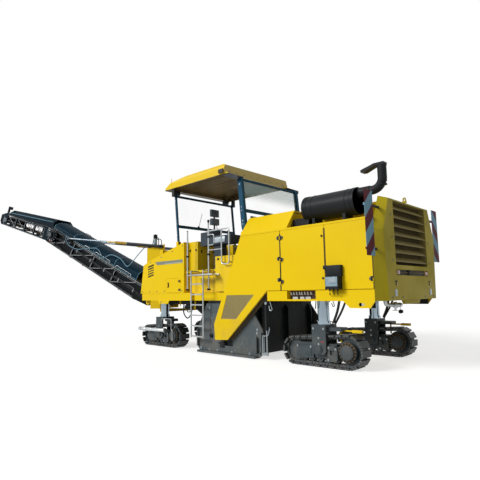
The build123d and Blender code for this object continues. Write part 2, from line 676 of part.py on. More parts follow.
def link_frame(base_x, half_depth, bars, label):
    """A pair of links, half_depth fore and aft, with cross bars at distances from the base pins."""
    lean_sin, lean_cos = sin(radians(link_lean)), cos(radians(link_lean))
    lean = Plane(origin=(base_x, 0, link_base_z), x_dir=(lean_cos, 0, -lean_sin), z_dir=(lean_sin, 0, lean_cos))
    with BuildPart(lean) as frame:
        foot = min(half_depth, link_foot)
        link_side = [(-foot, -30), (foot, -30), (foot, 60), (half_depth, 160), (half_depth, link_length + 30),
                     (-half_depth, link_length + 30), (-half_depth, 160), (-foot, 60)]
        for side in (-1, 1):
            prism(link_side, *sorted((side * 1032, side * 1068)), lean)
            if half_depth > link_foot:
                block((-half_depth, -half_depth + 25), (side * 985, side * 1033), (170, link_length + 30))
        for low in bars:
            block((-22, 22), (-1040, 1040), (low - 25, low + 25))
        # bores on the base pins, and the pins of the roof's ears
        for side in (-1, 1):
            pin_y(base_x, link_base_z, 20 + slide_fit, *sorted((side * 1005, side * 1095)),
                  mode=Mode.SUBTRACT)
            pin_y(base_x + link_top_x - link_base_x, link_top_z, 14, *sorted((side * 1052, side * 1112)))
    keep(frame, label)


link_frame(link_base_x, 60, (540, link_length - 20), "canopy_rear_frame")
link_frame(link_base_x + link_pitch, 30, (450, link_length - 20), "windscreen_frame")

with BuildPart() as canopy_roof:
    roof_side = [(roof_rear, roof_under), (roof_rear, roof_top - 25), (roof_rear + 60, roof_top),
                 (1500, roof_top - 5), (2080, roof_top - 70), (roof_front, roof_under + 40),
                 (roof_front, roof_under - 20), (2200, roof_under)]
    prism(roof_side, -roof_half, roof_half)
    roof_core = [(roof_rear + roof_sheet, roof_under - 50), (roof_rear + roof_sheet, roof_top - 25 - roof_sheet),
                 (roof_rear + 60 + roof_sheet, roof_top - roof_sheet), (1500, roof_top - 5 - roof_sheet),
                 (2070, roof_top - 70 - roof_sheet), (2200, roof_under + 95), (2200, roof_under - 50)]
    prism(roof_core, -roof_half + roof_sheet, roof_half - roof_sheet, mode=Mode.SUBTRACT)
    # sloping side fascias
    for side in (-1, 1):
        with BuildSketch(Plane.YZ.offset(roof_rear - 1)) as slope:
            with BuildLine():
                Polyline((side * roof_half + side, roof_under + 130), (side * roof_half + side, roof_top + 10),
                         (side * (roof_half - 45), roof_top + 10), close=True)
            make_face()
        extrude(slope.sketch, amount=roof_front - roof_rear + 2, mode=Mode.SUBTRACT)
    # work lamps under the front edge and at the rear corners, and the aerial
    for side in (-1, 1):
        block((2080, 2200), (side * 850, side * 990), (roof_under - 130, roof_under - 15))
        block((2120, 2160), (side * 900, side * 940), (roof_under - 16, roof_top - 75))
        block((roof_rear + 15, roof_rear + 165), (side * (roof_half - 1), side * (roof_half + 40)),
              (roof_under + 15, roof_under + 110))
    post(2140, 1100, 8, roof_top - 120, roof_top + 60)
    # rear arms and front lugs, which reach down to the links' top pins
    for side in (-1, 1):
        lug_y = sorted((side * 1075, side * (roof_half - roof_sheet + 1)))
        prism([(link_top_x - 35, link_top_z - 35), (link_top_x + 45, link_top_z - 35),
               (roof_rear + 160, roof_under - 10), (roof_rear + 160, roof_under + 60),
               (roof_rear + roof_sheet, roof_under + 60), (link_top_x - 35, link_top_z + 45)], *lug_y)
        block((link_top_x + link_pitch - 45, link_top_x + link_pitch + 45), lug_y,
              (link_top_z - 35, roof_under + 60))
    for side in (-1, 1):
        for x in (link_top_x, link_top_x + link_pitch):
            y0, y1 = sorted((side * 1070, side * 1113))
            pin_y(x, link_top_z, 14 + slide_fit, y0, y1, mode=Mode.SUBTRACT)
keep(canopy_roof, "canopy_roof")


# ---- pickup conveyor, from the drum to the nose ---------------------------------------------
pickup_foot = (box_half_x + 5, 430)
pickup_head = (3330, 1930)
with BuildPart() as pickup_conveyor:
    trough = [(pickup_foot[0], pickup_foot[1] - 130), pickup_foot, (pickup_foot[0], pickup_foot[1] + 170),
              (pickup_head[0] - 120, pickup_head[1] + 110), (pickup_head[0], pickup_head[1]),
              (pickup_head[0], pickup_head[1] - 170)]
    prism(trough, -450, 450)
    prism([(pickup_foot[0] + 1, pickup_foot[1] + 200), (pickup_foot[0] - 50, pickup_foot[1] + 60),
           (pickup_head[0] - 200, pickup_head[1] - 55 + 85), (pickup_head[0] - 200, pickup_head[1] + 200)],
          -400, 400, mode=Mode.SUBTRACT)
    # hangers at the drum box's front wall
    for side in (-1, 1):
        y0, y1 = sorted((side * 405, side * 450))
        prism([(box_half_x, 705), (box_half_x, 800), (900, 780), (900, 600), (780, 600)], y0, y1)
keep(pickup_conveyor, "pickup_conveyor")


# ---- slewing conveyor ---------------------------------------------------------------------------
slew_plane = Plane(origin=(pivot_x, 0, 0), x_dir=(cos(radians(slew)), sin(radians(slew)), 0), z_dir=(0, 0, 1))


def lower_at(along, height):
    """A point of the lower section, from its lift pin, in the slewing plane."""
    turn = radians(belt_rise)
    return (along * cos(turn) - height * sin(turn), lift_z + along * sin(turn) + height * cos(turn))


fold_along, fold_height = 4850, -430
fold_x, fold_z = lower_at(fold_along, fold_height)
tip_rise = belt_rise - tip_drop


def tip_at(along, height):
    """A point of the tip section, from its fold pin, in the slewing plane."""
    turn = radians(tip_rise)
    return (fold_x + along * cos(turn) - height * sin(turn), fold_z + along * sin(turn) + height * cos(turn))


yoke_inner = conveyor_half + 15
with BuildPart(slew_plane) as yoke_body:
    block((-120, 120), (-yoke_inner - 40, yoke_inner + 40), (arm_low[1] + 5, arm_low[1] + 40))
    block((-110, 110), (-yoke_inner - 40, yoke_inner + 40), (arm_high[1] + 5, arm_high[1] + 85))
cheek = [(-170, arm_low[1] + 5), (170, arm_low[1] + 5), (170, 1700), (300, 2300), (300, 2760), (-300, 2860),
         (-300, arm_high[1] + 10), (-200, arm_high[1] + 10), (-200, 2300), (-170, 1700)]
with BuildPart() as yoke_cheeks:
    for side in (-1, 1):
        y0, y1 = sorted((side * yoke_inner, side * (yoke_inner + 40)))
        prism(cheek, y0, y1, slew_plane)
        y0, y1 = sorted((side * (conveyor_half - 50), side * (yoke_inner + 20)))
        pin_y(0, lift_z, 45, y0, y1, slew_plane)
    # oil filter can on the left cheek's bracket
    prism([(-40, 2700), (160, 2700), (160, 2790), (-40, 2790)], 400, yoke_inner + 1, slew_plane)
with BuildPart() as filter_can:
    can_place = slew_plane.from_local_coords((60, 455, 0))
    post(can_place.X, can_place.Y, 50, 2780, 3120)
    post(can_place.X, can_place.Y, 58, 3060, 3170)
with BuildPart() as conveyor_yoke:
    # slewing pins in the frame's two bearings
    for low, high in (arm_low, arm_high):
        post(pivot_x, 0, pin_radius, low - 20, high + 20)
    add([yoke_body.part, yoke_cheeks.part, filter_can.part])
keep(conveyor_yoke, "conveyor_yoke")

bay_first, bay_pitch, bay_count, bay_post = 830, 950, 4, 60
lug_along = 3880            # lugs of the lifting cylinders
with BuildPart() as conveyor_lower:
    # side frames with a flat foot, a bottom chord and a top chord
    side_outline = [(-tail_back, 1045), (330, 1045), lower_at(700, -480), lower_at(fold_along - 60, -480),
                    lower_at(fold_along - 60, 60), lower_at(200, 60), (-tail_back, 1500)]
    for side in (-1, 1):
        y0, y1 = sorted((side * (conveyor_half - 40), side * conveyor_half))
        prism(side_outline, y0, y1, slew_plane)
        for i in range(bay_count):
            a0, a1 = bay_first + i * bay_pitch, bay_first + (i + 1) * bay_pitch - bay_post
            prism([lower_at(a0, -420), lower_at(a1 - 50, -420), lower_at(a0, -22)], y0 - 1, y1 + 1, slew_plane,
                  mode=Mode.SUBTRACT)
            prism([lower_at(a1, -398), lower_at(a1, 0), lower_at(a0 + 50, 0)], y0 - 1, y1 + 1, slew_plane,
                  mode=Mode.SUBTRACT)
        # closed trough side behind the bays
        y0, y1 = sorted((side * (conveyor_half - 48), side * (conveyor_half - 39)))
        prism([lower_at(bay_first - 20, -440), lower_at(fold_along - 80, -440), lower_at(fold_along - 80, 20),
               lower_at(bay_first - 20, 20)], y0, y1, slew_plane)
        y0, y1 = sorted((side * (conveyor_half - 40), side * conveyor_half))
        pin_y(0, lift_z, 45 + slide_fit, y0 - 1, y1 + 1, slew_plane, mode=Mode.SUBTRACT)
        # lug of the lifting cylinder
        y0, y1 = sorted((side * (conveyor_half - 20), side * (conveyor_half + 25)))
        prism([lower_at(lug_along - 180, -60), lower_at(lug_along + 120, -60), lower_at(lug_along + 70, 130),
               lower_at(lug_along - 80, 130)], y0, y1, slew_plane)
    for along in range(900, 4500, 640):
        x, z = lower_at(along, -450)
        pin_y(x, z, 25, -conveyor_half + 20, conveyor_half - 20, slew_plane)
    pin_y(-tail_back + 60, 1120, 40, -conveyor_half + 20, conveyor_half - 20, slew_plane)
    # belt motor outside the left frame, bearing cap outside the right one
    x, z = lower_at(fold_along - 190, -170)
    pin_y(x, z, 215, conveyor_half - 5, conveyor_half + 45, slew_plane)
    pin_y(x, z, 120, conveyor_half + 44, conveyor_half + 150, slew_plane)
    pin_y(x, z, 110, -conveyor_half - 50, -conveyor_half + 5, slew_plane)
    # knuckles of the fold hinge
    for side in (-1, 1):
        y0, y1 = sorted((side * (conveyor_half - 40), side * conveyor_half))
        prism([lower_at(fold_along - 200, -480), lower_at(fold_along, -480), lower_at(fold_along + 45, -430),
               lower_at(fold_along, -380), lower_at(fold_along - 200, -300)], y0, y1, slew_plane)
        pin_y(fold_x, fold_z, 30 + slide_fit, y0 - 1, y1 + 1, slew_plane, mode=Mode.SUBTRACT)
keep(conveyor_lower, "conveyor_lower")

# belt, drum and cover of the lower section
with BuildPart() as lower_belt:
    prism([(-tail_back + 60, 1330), lower_at(500, 20), lower_at(fold_along - 70, 20),
           lower_at(fold_along - 70, 40),
           lower_at(495, 40), (-tail_back + 50, 1350)], -belt_width / 2, belt_width / 2, slew_plane)
    pin_y(-tail_back + 200, 1234, 131, -belt_width / 2, belt_width / 2, slew_plane)
    for side in (-1, 1):
        pin_y(-tail_back + 200, 1234, 40, min(side * 399, side * (conveyor_half - 40)),
              max(side * 399, side * (conveyor_half - 40)), slew_plane)
keep(lower_belt, "lower_belt")

cover_rear = 900            # along the lower section, from the lifting pin
cover_foot_x, cover_foot_z = lower_at(cover_rear, 60)
cover_plane = Plane(origin=slew_plane.from_local_coords((cover_foot_x, 0, cover_foot_z)),
                    x_dir=slew_plane.y_dir,
                    z_dir=slew_plane.x_dir * cos(radians(belt_rise)) + Vector(0, 0, sin(radians(belt_rise))))
cover_length = fold_along - 60 - cover_rear
with BuildPart() as conveyor_cover:
    with BuildSketch(cover_plane) as hood_section:
        with BuildLine():
            Polyline((-440, 0), (440, 0), (440, 250), (240, 470), (-240, 470), (-440, 250), close=True)
        make_face()
    extrude(hood_section.sketch, amount=cover_length)
    with BuildSketch(cover_plane.offset(-5)) as hood_core:
        with BuildLine():
            Polyline((-430, -1), (430, -1), (430, 246), (236, 460), (-236, 460), (-430, 246), close=True)
        make_face()
    extrude(hood_core.sketch, amount=cover_length + 10, mode=Mode.SUBTRACT)
keep(conveyor_cover, "conveyor_cover")


def tip_section(along, height):
    """The tip's cross plane at a distance from its fold pin: X to the left, Y up."""
    x, z = tip_at(along, height)
    return Plane(origin=slew_plane.from_local_coords((x, 0, z)), x_dir=slew_plane.y_dir,
                 z_dir=slew_plane.x_dir * cos(radians(tip_rise)) + Vector(0, 0, sin(radians(tip_rise))))


with BuildPart() as conveyor_tip:
    tip_half = conveyor_half - 50
    tip_outline = [tip_at(-40, -40), tip_at(tip_length - 150, -40), tip_at(tip_length - 60, 60),
                   tip_at(tip_length - 60, 300), tip_at(tip_length - 300, 420), tip_at(40, 470),
                   tip_at(-40, 40)]
    for side in (-1, 1):
        y0, y1 = sorted((side * (tip_half - 40), side * tip_half))
        prism(tip_outline, y0, y1, slew_plane)
        for i in range(4):
            a0, a1 = 300 + i * 480, 300 + (i + 1) * 480 - 50
            prism([tip_at(a0, 20), tip_at(a1, 20), tip_at(a1, 340), tip_at(a0, 340)], y0 - 1, y1 + 1, slew_plane,
                  mode=Mode.SUBTRACT)
        y0, y1 = sorted((side * (tip_half - 10), side * (conveyor_half - 1)))
        pin_y(fold_x, fold_z, 30, y0, y1, slew_plane)
    # mast with the lamp at the head, on the left
    prism([tip_at(2190, 380), tip_at(2260, 380), tip_at(2260, 640), tip_at(2190, 640)], tip_half - 40, tip_half,
          slew_plane)
    prism([tip_at(2160, 560), tip_at(2300, 560), tip_at(2300, 660), tip_at(2160, 660)],
          tip_half - 110, tip_half - 30,
          slew_plane)
    for along in (150, 800, 1500, 2250):
        x, z = tip_at(along, -8)
        pin_y(x, z, 24, -tip_half + 20, tip_half - 20, slew_plane)
    # hood over the belt, lower towards the head
    for wall, mode in ((0, Mode.ADD), (8, Mode.SUBTRACT)):
        half, foot = tip_half - 5 - wall, 400 - wall
        hood_ends = []
        for along, rise in ((-80 - wall, 360), (2120 + wall, 170)):
            with BuildSketch(tip_section(along, foot)) as hood_end:
                with BuildLine():
                    Polyline((-half, 0), (half, 0), (half, rise - 110), (half - 150, rise),
                             (-half + 150, rise), (-half, rise - 110), close=True)
                make_face()
            hood_ends.append(hood_end.sketch)
        loft(hood_ends, mode=mode)
keep(conveyor_tip, "conveyor_tip")

with BuildPart() as tip_belt:
    head_along = tip_length - 140
    tip_belt_half = tip_half - 60
    prism([tip_at(120, 330), tip_at(120, 350), tip_at(head_along, 280), tip_at(head_along, 260)],
          -tip_belt_half, tip_belt_half, slew_plane)
    x, z = tip_at(head_along, 150)
    pin_y(x, z, 130, -tip_belt_half, tip_belt_half, slew_plane)
    pin_y(x, z, 40, -tip_half + 40, tip_half - 40, slew_plane)
keep(tip_belt, "tip_belt")

# lifting cylinders, one each side, from the yoke's ears to the lower section's lugs
ram_base = (-230, 2790)
ram_eye = lower_at(lug_along, 60)
ram_run = hypot(ram_eye[0] - ram_base[0], ram_eye[1] - ram_base[1])
ram_rise = atan2(ram_eye[1] - ram_base[1], ram_eye[0] - ram_base[0])
barrel_length = 1650
ram_y = yoke_inner + 40 + 45


def ram_plane(side):
    """Plane at a cylinder's base pin, Z along the cylinder."""
    origin = slew_plane.from_local_coords((ram_base[0], side * ram_y, ram_base[1]))
    along = slew_plane.x_dir * cos(ram_rise) + Vector(0, 0, 1) * sin(ram_rise)
    return Plane(origin=origin, x_dir=slew_plane.y_dir, z_dir=along)


with BuildPart() as ram_barrels:
    for side in (-1, 1):
        with BuildSketch(ram_plane(side).offset(40)) as tube_end:
            Circle(45)
        extrude(tube_end.sketch, amount=barrel_length)
        with BuildSketch(ram_plane(side).offset(500)) as bore:
            Circle(28 + slide_fit)
        extrude(bore.sketch, amount=barrel_length, mode=Mode.SUBTRACT)
        y0, y1 = sorted((side * (ram_y - 30), side * (ram_y + 30)))
        pin_y(ram_base[0], ram_base[1], 55, y0, y1, slew_plane)
        y0, y1 = sorted((side * (yoke_inner + 40.3), side * (ram_y + 31)))
        pin_y(ram_base[0], ram_base[1], 22 + slide_fit, y0, y1, slew_plane, mode=Mode.SUBTRACT)
keep(ram_barrels, "ram_barrels")

with BuildPart() as ram_rods:
    for side in (-1, 1):
        with BuildSketch(ram_plane(side).offset(900)) as rod_end:
            Circle(28)
        extrude(rod_end.sketch, amount=ram_run - 900 - 15)
        y0, y1 = sorted((side * (conveyor_half + 32), side * (ram_y + 33)))
        pin_y(ram_eye[0], ram_eye[1], 46, y0, y1, slew_plane)
keep(ram_rods, "ram_rods")

# ---- things on the outside ---------------------------------------------------------------------
with BuildPart() as warning_boards:
    for side in (-1, 1):
        block((rear_x + 75, rear_x + 80), (side * 1300, side * 1580), (1950, 3050))
        block((rear_x + 80, rear_x + 110), (side * 1208.5, side * 1560), (2050, 2090))
        block((rear_x + 80, rear_x + 110), (side * 1048, side * 1560), (2780, 2820))
keep(warning_boards, "warning_boards")

with BuildPart() as control_box:
    block((-3050, -2790), (half_width + slide_fit, 1400), (1415, 1640))
    prism([(-3070, 1640), (-2770, 1640), (-2770, 1840), (-3070, 1840)], half_width + slide_fit, 1330)
keep(control_box, "control_box")

with BuildPart() as water_filler:
    tube([(-3560, 700, skirt_bottom - 0.3), (-3560, 700, 1130), (-3560, 350, 1110), (-3560, 60, 1110)],
         32, 60)
keep(water_filler, "water_filler")

# lashing plates below the skirts, each with its eye
# columns: outline below the skirt, outer face, thickness, eye (x, z, radius)
plates = [([(-3650, skirt_bottom), (-3050, skirt_bottom), (-3180, jack_bottom), (-3560, jack_bottom)],
           half_width, 25, (-3380, 1146, 32)),
          ([(2240, skirt_bottom), (2730, skirt_bottom), (2700, jack_bottom + 35), (2290, jack_bottom + 35)],
           hood_half_width, 18, (2600, 1163, 26)),
          ([(3340, skirt_bottom), (3520, skirt_bottom), (3520, jack_bottom + 40), (3480, jack_bottom),
            (3400, jack_bottom), (3340, jack_bottom + 60)], 960, 30, (3440, 1145, 28))]
with BuildPart() as lashing_plates:
    for outline, face, thick, (eye_x, eye_z, eye_radius) in plates:
        for side in (-1, 1):
            y0, y1 = sorted((side * (face - thick), side * face))
            prism(outline, y0, y1)
            pin_y(eye_x, eye_z, eye_radius, y0 - 1, y1 + 1, mode=Mode.SUBTRACT)
keep(lashing_plates, "lashing_plates")
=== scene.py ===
from math import cos, exp, hypot, pi, radians, sin, tau
import bmesh
import bpy
from mathutils import Matrix, Vector


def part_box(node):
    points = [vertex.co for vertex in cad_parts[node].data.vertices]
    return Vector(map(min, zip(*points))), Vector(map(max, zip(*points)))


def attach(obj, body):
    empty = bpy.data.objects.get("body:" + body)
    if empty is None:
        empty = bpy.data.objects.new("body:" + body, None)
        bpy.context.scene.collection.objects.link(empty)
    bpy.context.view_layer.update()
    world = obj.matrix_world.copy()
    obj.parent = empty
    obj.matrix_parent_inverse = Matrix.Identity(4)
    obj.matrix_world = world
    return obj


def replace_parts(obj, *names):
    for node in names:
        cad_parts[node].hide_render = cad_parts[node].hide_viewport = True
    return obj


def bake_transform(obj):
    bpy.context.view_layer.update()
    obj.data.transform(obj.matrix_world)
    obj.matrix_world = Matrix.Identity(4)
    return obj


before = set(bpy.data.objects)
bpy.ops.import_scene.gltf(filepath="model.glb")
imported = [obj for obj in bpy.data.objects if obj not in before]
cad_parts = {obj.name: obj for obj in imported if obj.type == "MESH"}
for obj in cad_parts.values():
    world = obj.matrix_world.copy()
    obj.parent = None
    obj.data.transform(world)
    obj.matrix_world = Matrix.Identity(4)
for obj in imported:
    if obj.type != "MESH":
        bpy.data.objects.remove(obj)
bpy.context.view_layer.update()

# ---- Where the machine stands: floor, daylight and the viewpoint ----
# A parked machine in an open, bright yard. The sun stands ahead and to its left, so that
# the tail of the machine lies in its own shade.
EYE = Vector((-7.064, 7.93, 1.383))
LOOK_ACROSS, LOOK_UP, ROLL = radians(-45.729), radians(6.992), radians(-0.95)
SENSOR, LENS, FAR = 36.0, 32.136, 400.0
SKY_LIGHT, SUN_LIGHT, FLOOR_LIGHT, SUN_WIDTH = 0.3, 2.65, 0.66, radians(24)
SUN_FROM, YARD = Vector((0.4, 0.78, 0.52)), 150
view = bpy.data.cameras.new("viewpoint")
view.sensor_width, view.lens, view.clip_end = SENSOR, LENS, FAR
viewpoint = bpy.data.objects.new("viewpoint", view)
ahead = Vector((cos(LOOK_UP) * cos(LOOK_ACROSS), cos(LOOK_UP) * sin(LOOK_ACROSS), sin(LOOK_UP)))
viewpoint.matrix_world = (Matrix.Translation(EYE) @ ahead.to_track_quat("-Z", "Y").to_matrix().to_4x4()
                          @ Matrix.Rotation(ROLL, 4, "Z"))
bpy.context.scene.collection.objects.link(viewpoint)
bpy.context.scene.camera = viewpoint
bpy.context.scene.view_settings.view_transform = "Standard"

sun_data = bpy.data.lights.new("sun", "SUN")
sun_data.energy, sun_data.angle = SUN_LIGHT, SUN_WIDTH
sun = bpy.data.objects.new("sun", sun_data)
sun.rotation_euler = SUN_FROM.to_track_quat("Z", "Y").to_euler()
bpy.context.scene.collection.objects.link(sun)


class Tone:
    """One socket of a finish. Sums written on tones add the Math nodes they need."""

    def __init__(self, finish, socket):
        self.finish, self.socket = finish, socket

    def sum(self, operation, first, second):
        return self.finish.node("ShaderNodeMath", {"operation": operation}, {0: first, 1: second})

    def __add__(self, other): return self.sum("ADD", self, other)
    def __sub__(self, other): return self.sum("SUBTRACT", self, other)
    def __rsub__(self, other): return self.sum("SUBTRACT", other, self)
    def __mul__(self, other): return self.sum("MULTIPLY", self, other)
    def __truediv__(self, other): return self.sum("DIVIDE", self, other)
    def __gt__(self, other): return self.sum("GREATER_THAN", self, other)
    def __lt__(self, other): return self.sum("LESS_THAN", self, other)
    def __mod__(self, other): return self.sum("FLOORED_MODULO", self, other)
    def most(self, other): return self.sum("MAXIMUM", self, other)
    def least(self, other): return self.sum("MINIMUM", self, other)

    def between(self, low, high):
        """Eases from 0 to 1 while this tone goes from low to high."""
        return self.finish.node("ShaderNodeMapRange", {"interpolation_type": "SMOOTHSTEP"},
                                {0: self, 1: low, 2: high})


class Finish:
    """A finish of the machine, as a node tree around one surface shader."""

    def __init__(self, name, shader="ShaderNodeBsdfPrincipled", world=False):
        self.owner = bpy.data.worlds.new(name) if world else bpy.data.materials.new(name)
        self.owner.use_nodes = True
        self.tree = self.owner.node_tree
        self.tree.nodes.clear()
        self.shader = self.tree.nodes.new(shader)
        end = self.tree.nodes.new("ShaderNodeOutputWorld" if world else "ShaderNodeOutputMaterial")
        self.tree.links.new(self.shader.outputs[0], end.inputs["Surface"])

    def node(self, kind, settings=None, values=None, output=0):
        """Any node: its settings first, then the values or links of its sockets."""
        made = self.tree.nodes.new(kind)
        for key, value in (settings or {}).items():
            setattr(made, key, value)
        for key, value in (values or {}).items():
            self.feed(made.inputs[key], value)
        return Tone(self, made.outputs[output])

    def feed(self, socket, value):
        if isinstance(value, Tone):
            self.tree.links.new(value.socket, socket)
        elif isinstance(value, tuple) and len(value) == 3 and len(socket.default_value) == 4:
            socket.default_value = (*value, 1.0)
        else:
            socket.default_value = value

    def surface(self, **values):
        """Sets the surface shader's sockets; an underscore in a name is a space."""
        for key, value in values.items():
            self.feed(self.shader.inputs[key.replace("_", " ")], value)

    def place(self, axis=None):
        """Object coordinates, whole or one axis of them, in metres."""
        spot = self.node("ShaderNodeTexCoord", output=3)
        return self.part(spot, axis) if axis else spot

    def part(self, whole, axis):
        """One axis of a tone that has three."""
        return self.node("ShaderNodeSeparateXYZ", {}, {0: whole}, "XYZ".index(axis))

    def facing(self, axis):
        """One axis of the direction that the surface faces."""
        return self.part(self.node("ShaderNodeNewGeometry", output=1), axis)

    def off_middle(self):
        """How far a point stands from the machine's middle plane."""
        return self.node("ShaderNodeMath", {"operation": "ABSOLUTE"}, {0: self.place("Y")})

    def seen(self):
        """1 for rays from the viewpoint, off a mirror or through glass, and 0 for light."""
        camera, glossy, through = (self.node("ShaderNodeLightPath", output=i) for i in (0, 3, 6))
        return camera.most(glossy).most(through)

    def cloud(self, size, detail=4.0, rough=0.55, stretch=(1.0, 1.0, 1.0)):
        """Uneven patches about size metres across, from 0 to 1."""
        spot = self.node("ShaderNodeMapping", {}, {0: self.place(), 3: tuple(s / size for s in stretch)})
        values = {"Vector": spot, "Scale": 1.0, "Detail": detail, "Roughness": rough}
        return self.node("ShaderNodeTexNoise", {}, values)

    def blend(self, share, first, second):
        """A colour between two, by share."""
        return self.node("ShaderNodeMix", {"data_type": "RGBA"}, {0: share, 6: first, 7: second}, output=2)

    def dent(self, height, depth, base=None):
        """Bump from a height tone, in metres of depth."""
        values = {"Height": height, "Distance": depth, "Strength": 1.0}
        if base is not None:
            values["Normal"] = base
        return self.node("ShaderNodeBump", {}, values)


sky = Finish("sky", "ShaderNodeBackground", world=True)
sky.surface(Color=(1.0, 1.0, 1.0), Strength=sky.seen() * (1.0 - SKY_LIGHT) + SKY_LIGHT)
bpy.context.scene.world = sky.owner

floor_mesh = bpy.data.meshes.new("floor")
corners = [(-YARD, -YARD, 0), (YARD, -YARD, 0), (YARD, YARD, 0), (-YARD, YARD, 0)]
floor_mesh.from_pydata(corners, [], [(0, 1, 2, 3)])
floor = bpy.data.objects.new("floor", floor_mesh)
bpy.context.scene.collection.objects.link(floor)
yard = Finish("pale_floor")
yard.surface(Base_Color=(0.5, 0.5, 0.49), Roughness=0.9, Specular_IOR_Level=0.1, Emission_Color=(1.0, 1.0, 1.0),
             Emission_Strength=yard.seen() * FLOOR_LIGHT)
floor_mesh.materials.append(yard.owner)

# ---- Main frame, hood, doors and housings: bent and welded steel in machine yellow ----
# Sheet and beams with a glossy two-coat paint. Road dust lies on the lower edges, and the
# paint is a little duller where hands and boots touch it.
YELLOW = (0.86, 0.595, 0.0015)
YELLOW_WORN = (0.76, 0.49, 0.003)
ROAD_DUST = (0.23, 0.2, 0.155)


def paint_coat(name, colour, worn, gloss, dust_top, dust_share, grain=0.0006, shine=0.35):
    """A sprayed coat with uneven patches, orange peel and dust below dust_top."""
    coat = Finish(name)
    patches = coat.cloud(1.4, 5.0).between(0.42, 0.72)
    fine = coat.cloud(0.06, 6.0, 0.7)
    low = 1.0 - coat.place("Z").between(dust_top - 0.9, dust_top)
    dust = low * coat.cloud(0.35, 6.0, 0.65).between(0.4, 0.66) * dust_share
    streaks = coat.cloud(0.16, 5.0, 0.6, (1.0, 1.0, 0.12)).between(0.56, 0.78) * 0.22
    tinted = coat.blend(patches * 0.35 + streaks, colour, worn)
    coat.surface(Base_Color=coat.blend(dust, tinted, ROAD_DUST),
                 Roughness=(dust * 0.45 + fine * 0.12 + gloss).least(0.95), Specular_IOR_Level=shine,
                 Coat_Weight=(1.0 - dust * 1.6).most(0.0) * shine * 0.2, Coat_Roughness=0.14,
                 Normal=coat.dent(fine, grain, coat.dent(coat.cloud(0.9, 2.0), 0.004)))
    return coat.owner


def dress(finish, *nodes):
    """Gives CAD nodes their finish."""
    for node in nodes:
        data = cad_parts[node].data
        data.materials.clear()
        data.materials.append(finish)
        for face in data.polygons:
            face.material_index = 0


yellow = paint_coat("machine_yellow", YELLOW, YELLOW_WORN, 0.34, 1.45, 0.15, 0.0005, 0.12)
dress(yellow, "main_frame", "front_hood", "hood_hatch", "rear_housing", "lashing_plates",
      "door_left_rear", "door_left_middle", "door_left_front", "door_right_rear", "door_right_middle",
      "door_right_front", "conveyor_yoke")
# The belt case is painted brown as painted shade, standing for the shaded inside of the yellow cover along its
# sloping edge.
belt_case_painted_shade = paint_coat("belt_case_painted_shade", (0.105, 0.08, 0.052), (0.15, 0.115, 0.07), 0.5, 1.2, 0.2, 0.001, 0.2)
dress(belt_case_painted_shade, "belt_case")

# ---- Rear cowl: folded sheet in matt yellow, painted olive as painted shade ----
# The tail's yellow is painted darker olive, in uneven patches and runs, as painted shade. The wells
# between the slats are painted browner as painted shade, and the slats' front lips paler as a painted highlight.
cowl = Finish("cowl_painted_shade")
film = cowl.cloud(0.9, 5.0).between(0.35, 0.75)
run = cowl.cloud(0.1, 5.0, 0.65, (1.0, 1.0, 0.1)).between(0.5, 0.8)
depth, side_share, height = cowl.place("X"), cowl.off_middle(), cowl.place("Z")
LIP_OUT, LIP_IN, WELL_BACK, WELL_FOOT, WELL_TOP = -3.7975, -3.7925, -3.652, 1.815, 2.965
# The first mask marks the wells between the slats, painted browner as painted shade; the second marks the slats'
# front lips, painted paler as a painted highlight.
well_painted_shade = (depth > LIP_IN) * (side_share < 0.735) * (height > WELL_FOOT) * (height < WELL_TOP) * (depth < WELL_BACK)
lip_painted_highlight = (depth > LIP_OUT) * (depth < LIP_IN) * (side_share < 0.7) * (height > WELL_FOOT)
# The cowl's yellow, darkened to olive as painted shade.
skin_painted_shade = cowl.blend(film * 0.6 + run * 0.3, (0.47, 0.375, 0.012), (0.3, 0.25, 0.03))
cowl.surface(Base_Color=cowl.blend(lip_painted_highlight, cowl.blend(well_painted_shade * 0.85, skin_painted_shade, (0.3, 0.245, 0.105)), (0.64, 0.6, 0.42)),
             Roughness=film * 0.2 + run * 0.1 + 0.42, Specular_IOR_Level=0.15,
             Normal=cowl.dent(cowl.cloud(0.06, 6.0, 0.7), 0.0005))
dress(cowl.owner, "rear_cowl")

# ---- Drum box, edge plates, track frames and belt housings: wear parts in anthracite ----
# Thick plate under a satin dark coat that is scratched and dusty near the ground, because it
# works beside the cut.
anthracite = paint_coat("anthracite", (0.0045, 0.0075, 0.0095), (0.014, 0.02, 0.024), 0.46, 1.1, 0.12, 0.0015, 0.16)
dress(anthracite, "drum_housing", "rear_gate", "pickup_conveyor", "engine_block")
plate_coat = paint_coat("edge_plate_coat", (0.055, 0.072, 0.08), (0.11, 0.13, 0.138), 0.48, 1.2, 0.35, 0.002, 0.3)
dress(plate_coat, "side_plate_left", "side_plate_right")
carrier_coat = paint_coat("carrier_coat", (0.032, 0.046, 0.054), (0.07, 0.086, 0.094), 0.45, 0.9, 0.28, 0.0015, 0.3)
dress(carrier_coat, "carrier_front_left", "carrier_front_right", "carrier_rear_left", "carrier_rear_right")

# ---- Conveyor frames and their covers: dark blue-grey painted steel and sheet ----
# Welded sections under a gloss coat; the covers are bent aluminium sheet in dark blue.
truss_coat = paint_coat("conveyor_frame_coat", (0.004, 0.006, 0.008), (0.014, 0.018, 0.021), 0.5, 1.6, 0.2, 0.001,
                        0.06)
dress(truss_coat, "conveyor_lower")
tip_coat = paint_coat("conveyor_tip_coat", (0.0025, 0.012, 0.02), (0.01, 0.03, 0.042), 0.5, 1.6, 0.1, 0.001, 0.06)
dress(tip_coat, "conveyor_tip")
slate = paint_coat("dark_blue_frame", (0.005, 0.055, 0.11), (0.025, 0.115, 0.18), 0.42, 1.5, 0.1, 0.0006, 0.1)
dress(slate, "canopy_rear_frame", "windscreen_frame")
cover_coat = paint_coat("cover_coat", (0.0015, 0.019, 0.036), (0.005, 0.04, 0.066), 0.48, 1.5, 0.1, 0.0006, 0.06)
dress(cover_coat, "conveyor_cover")


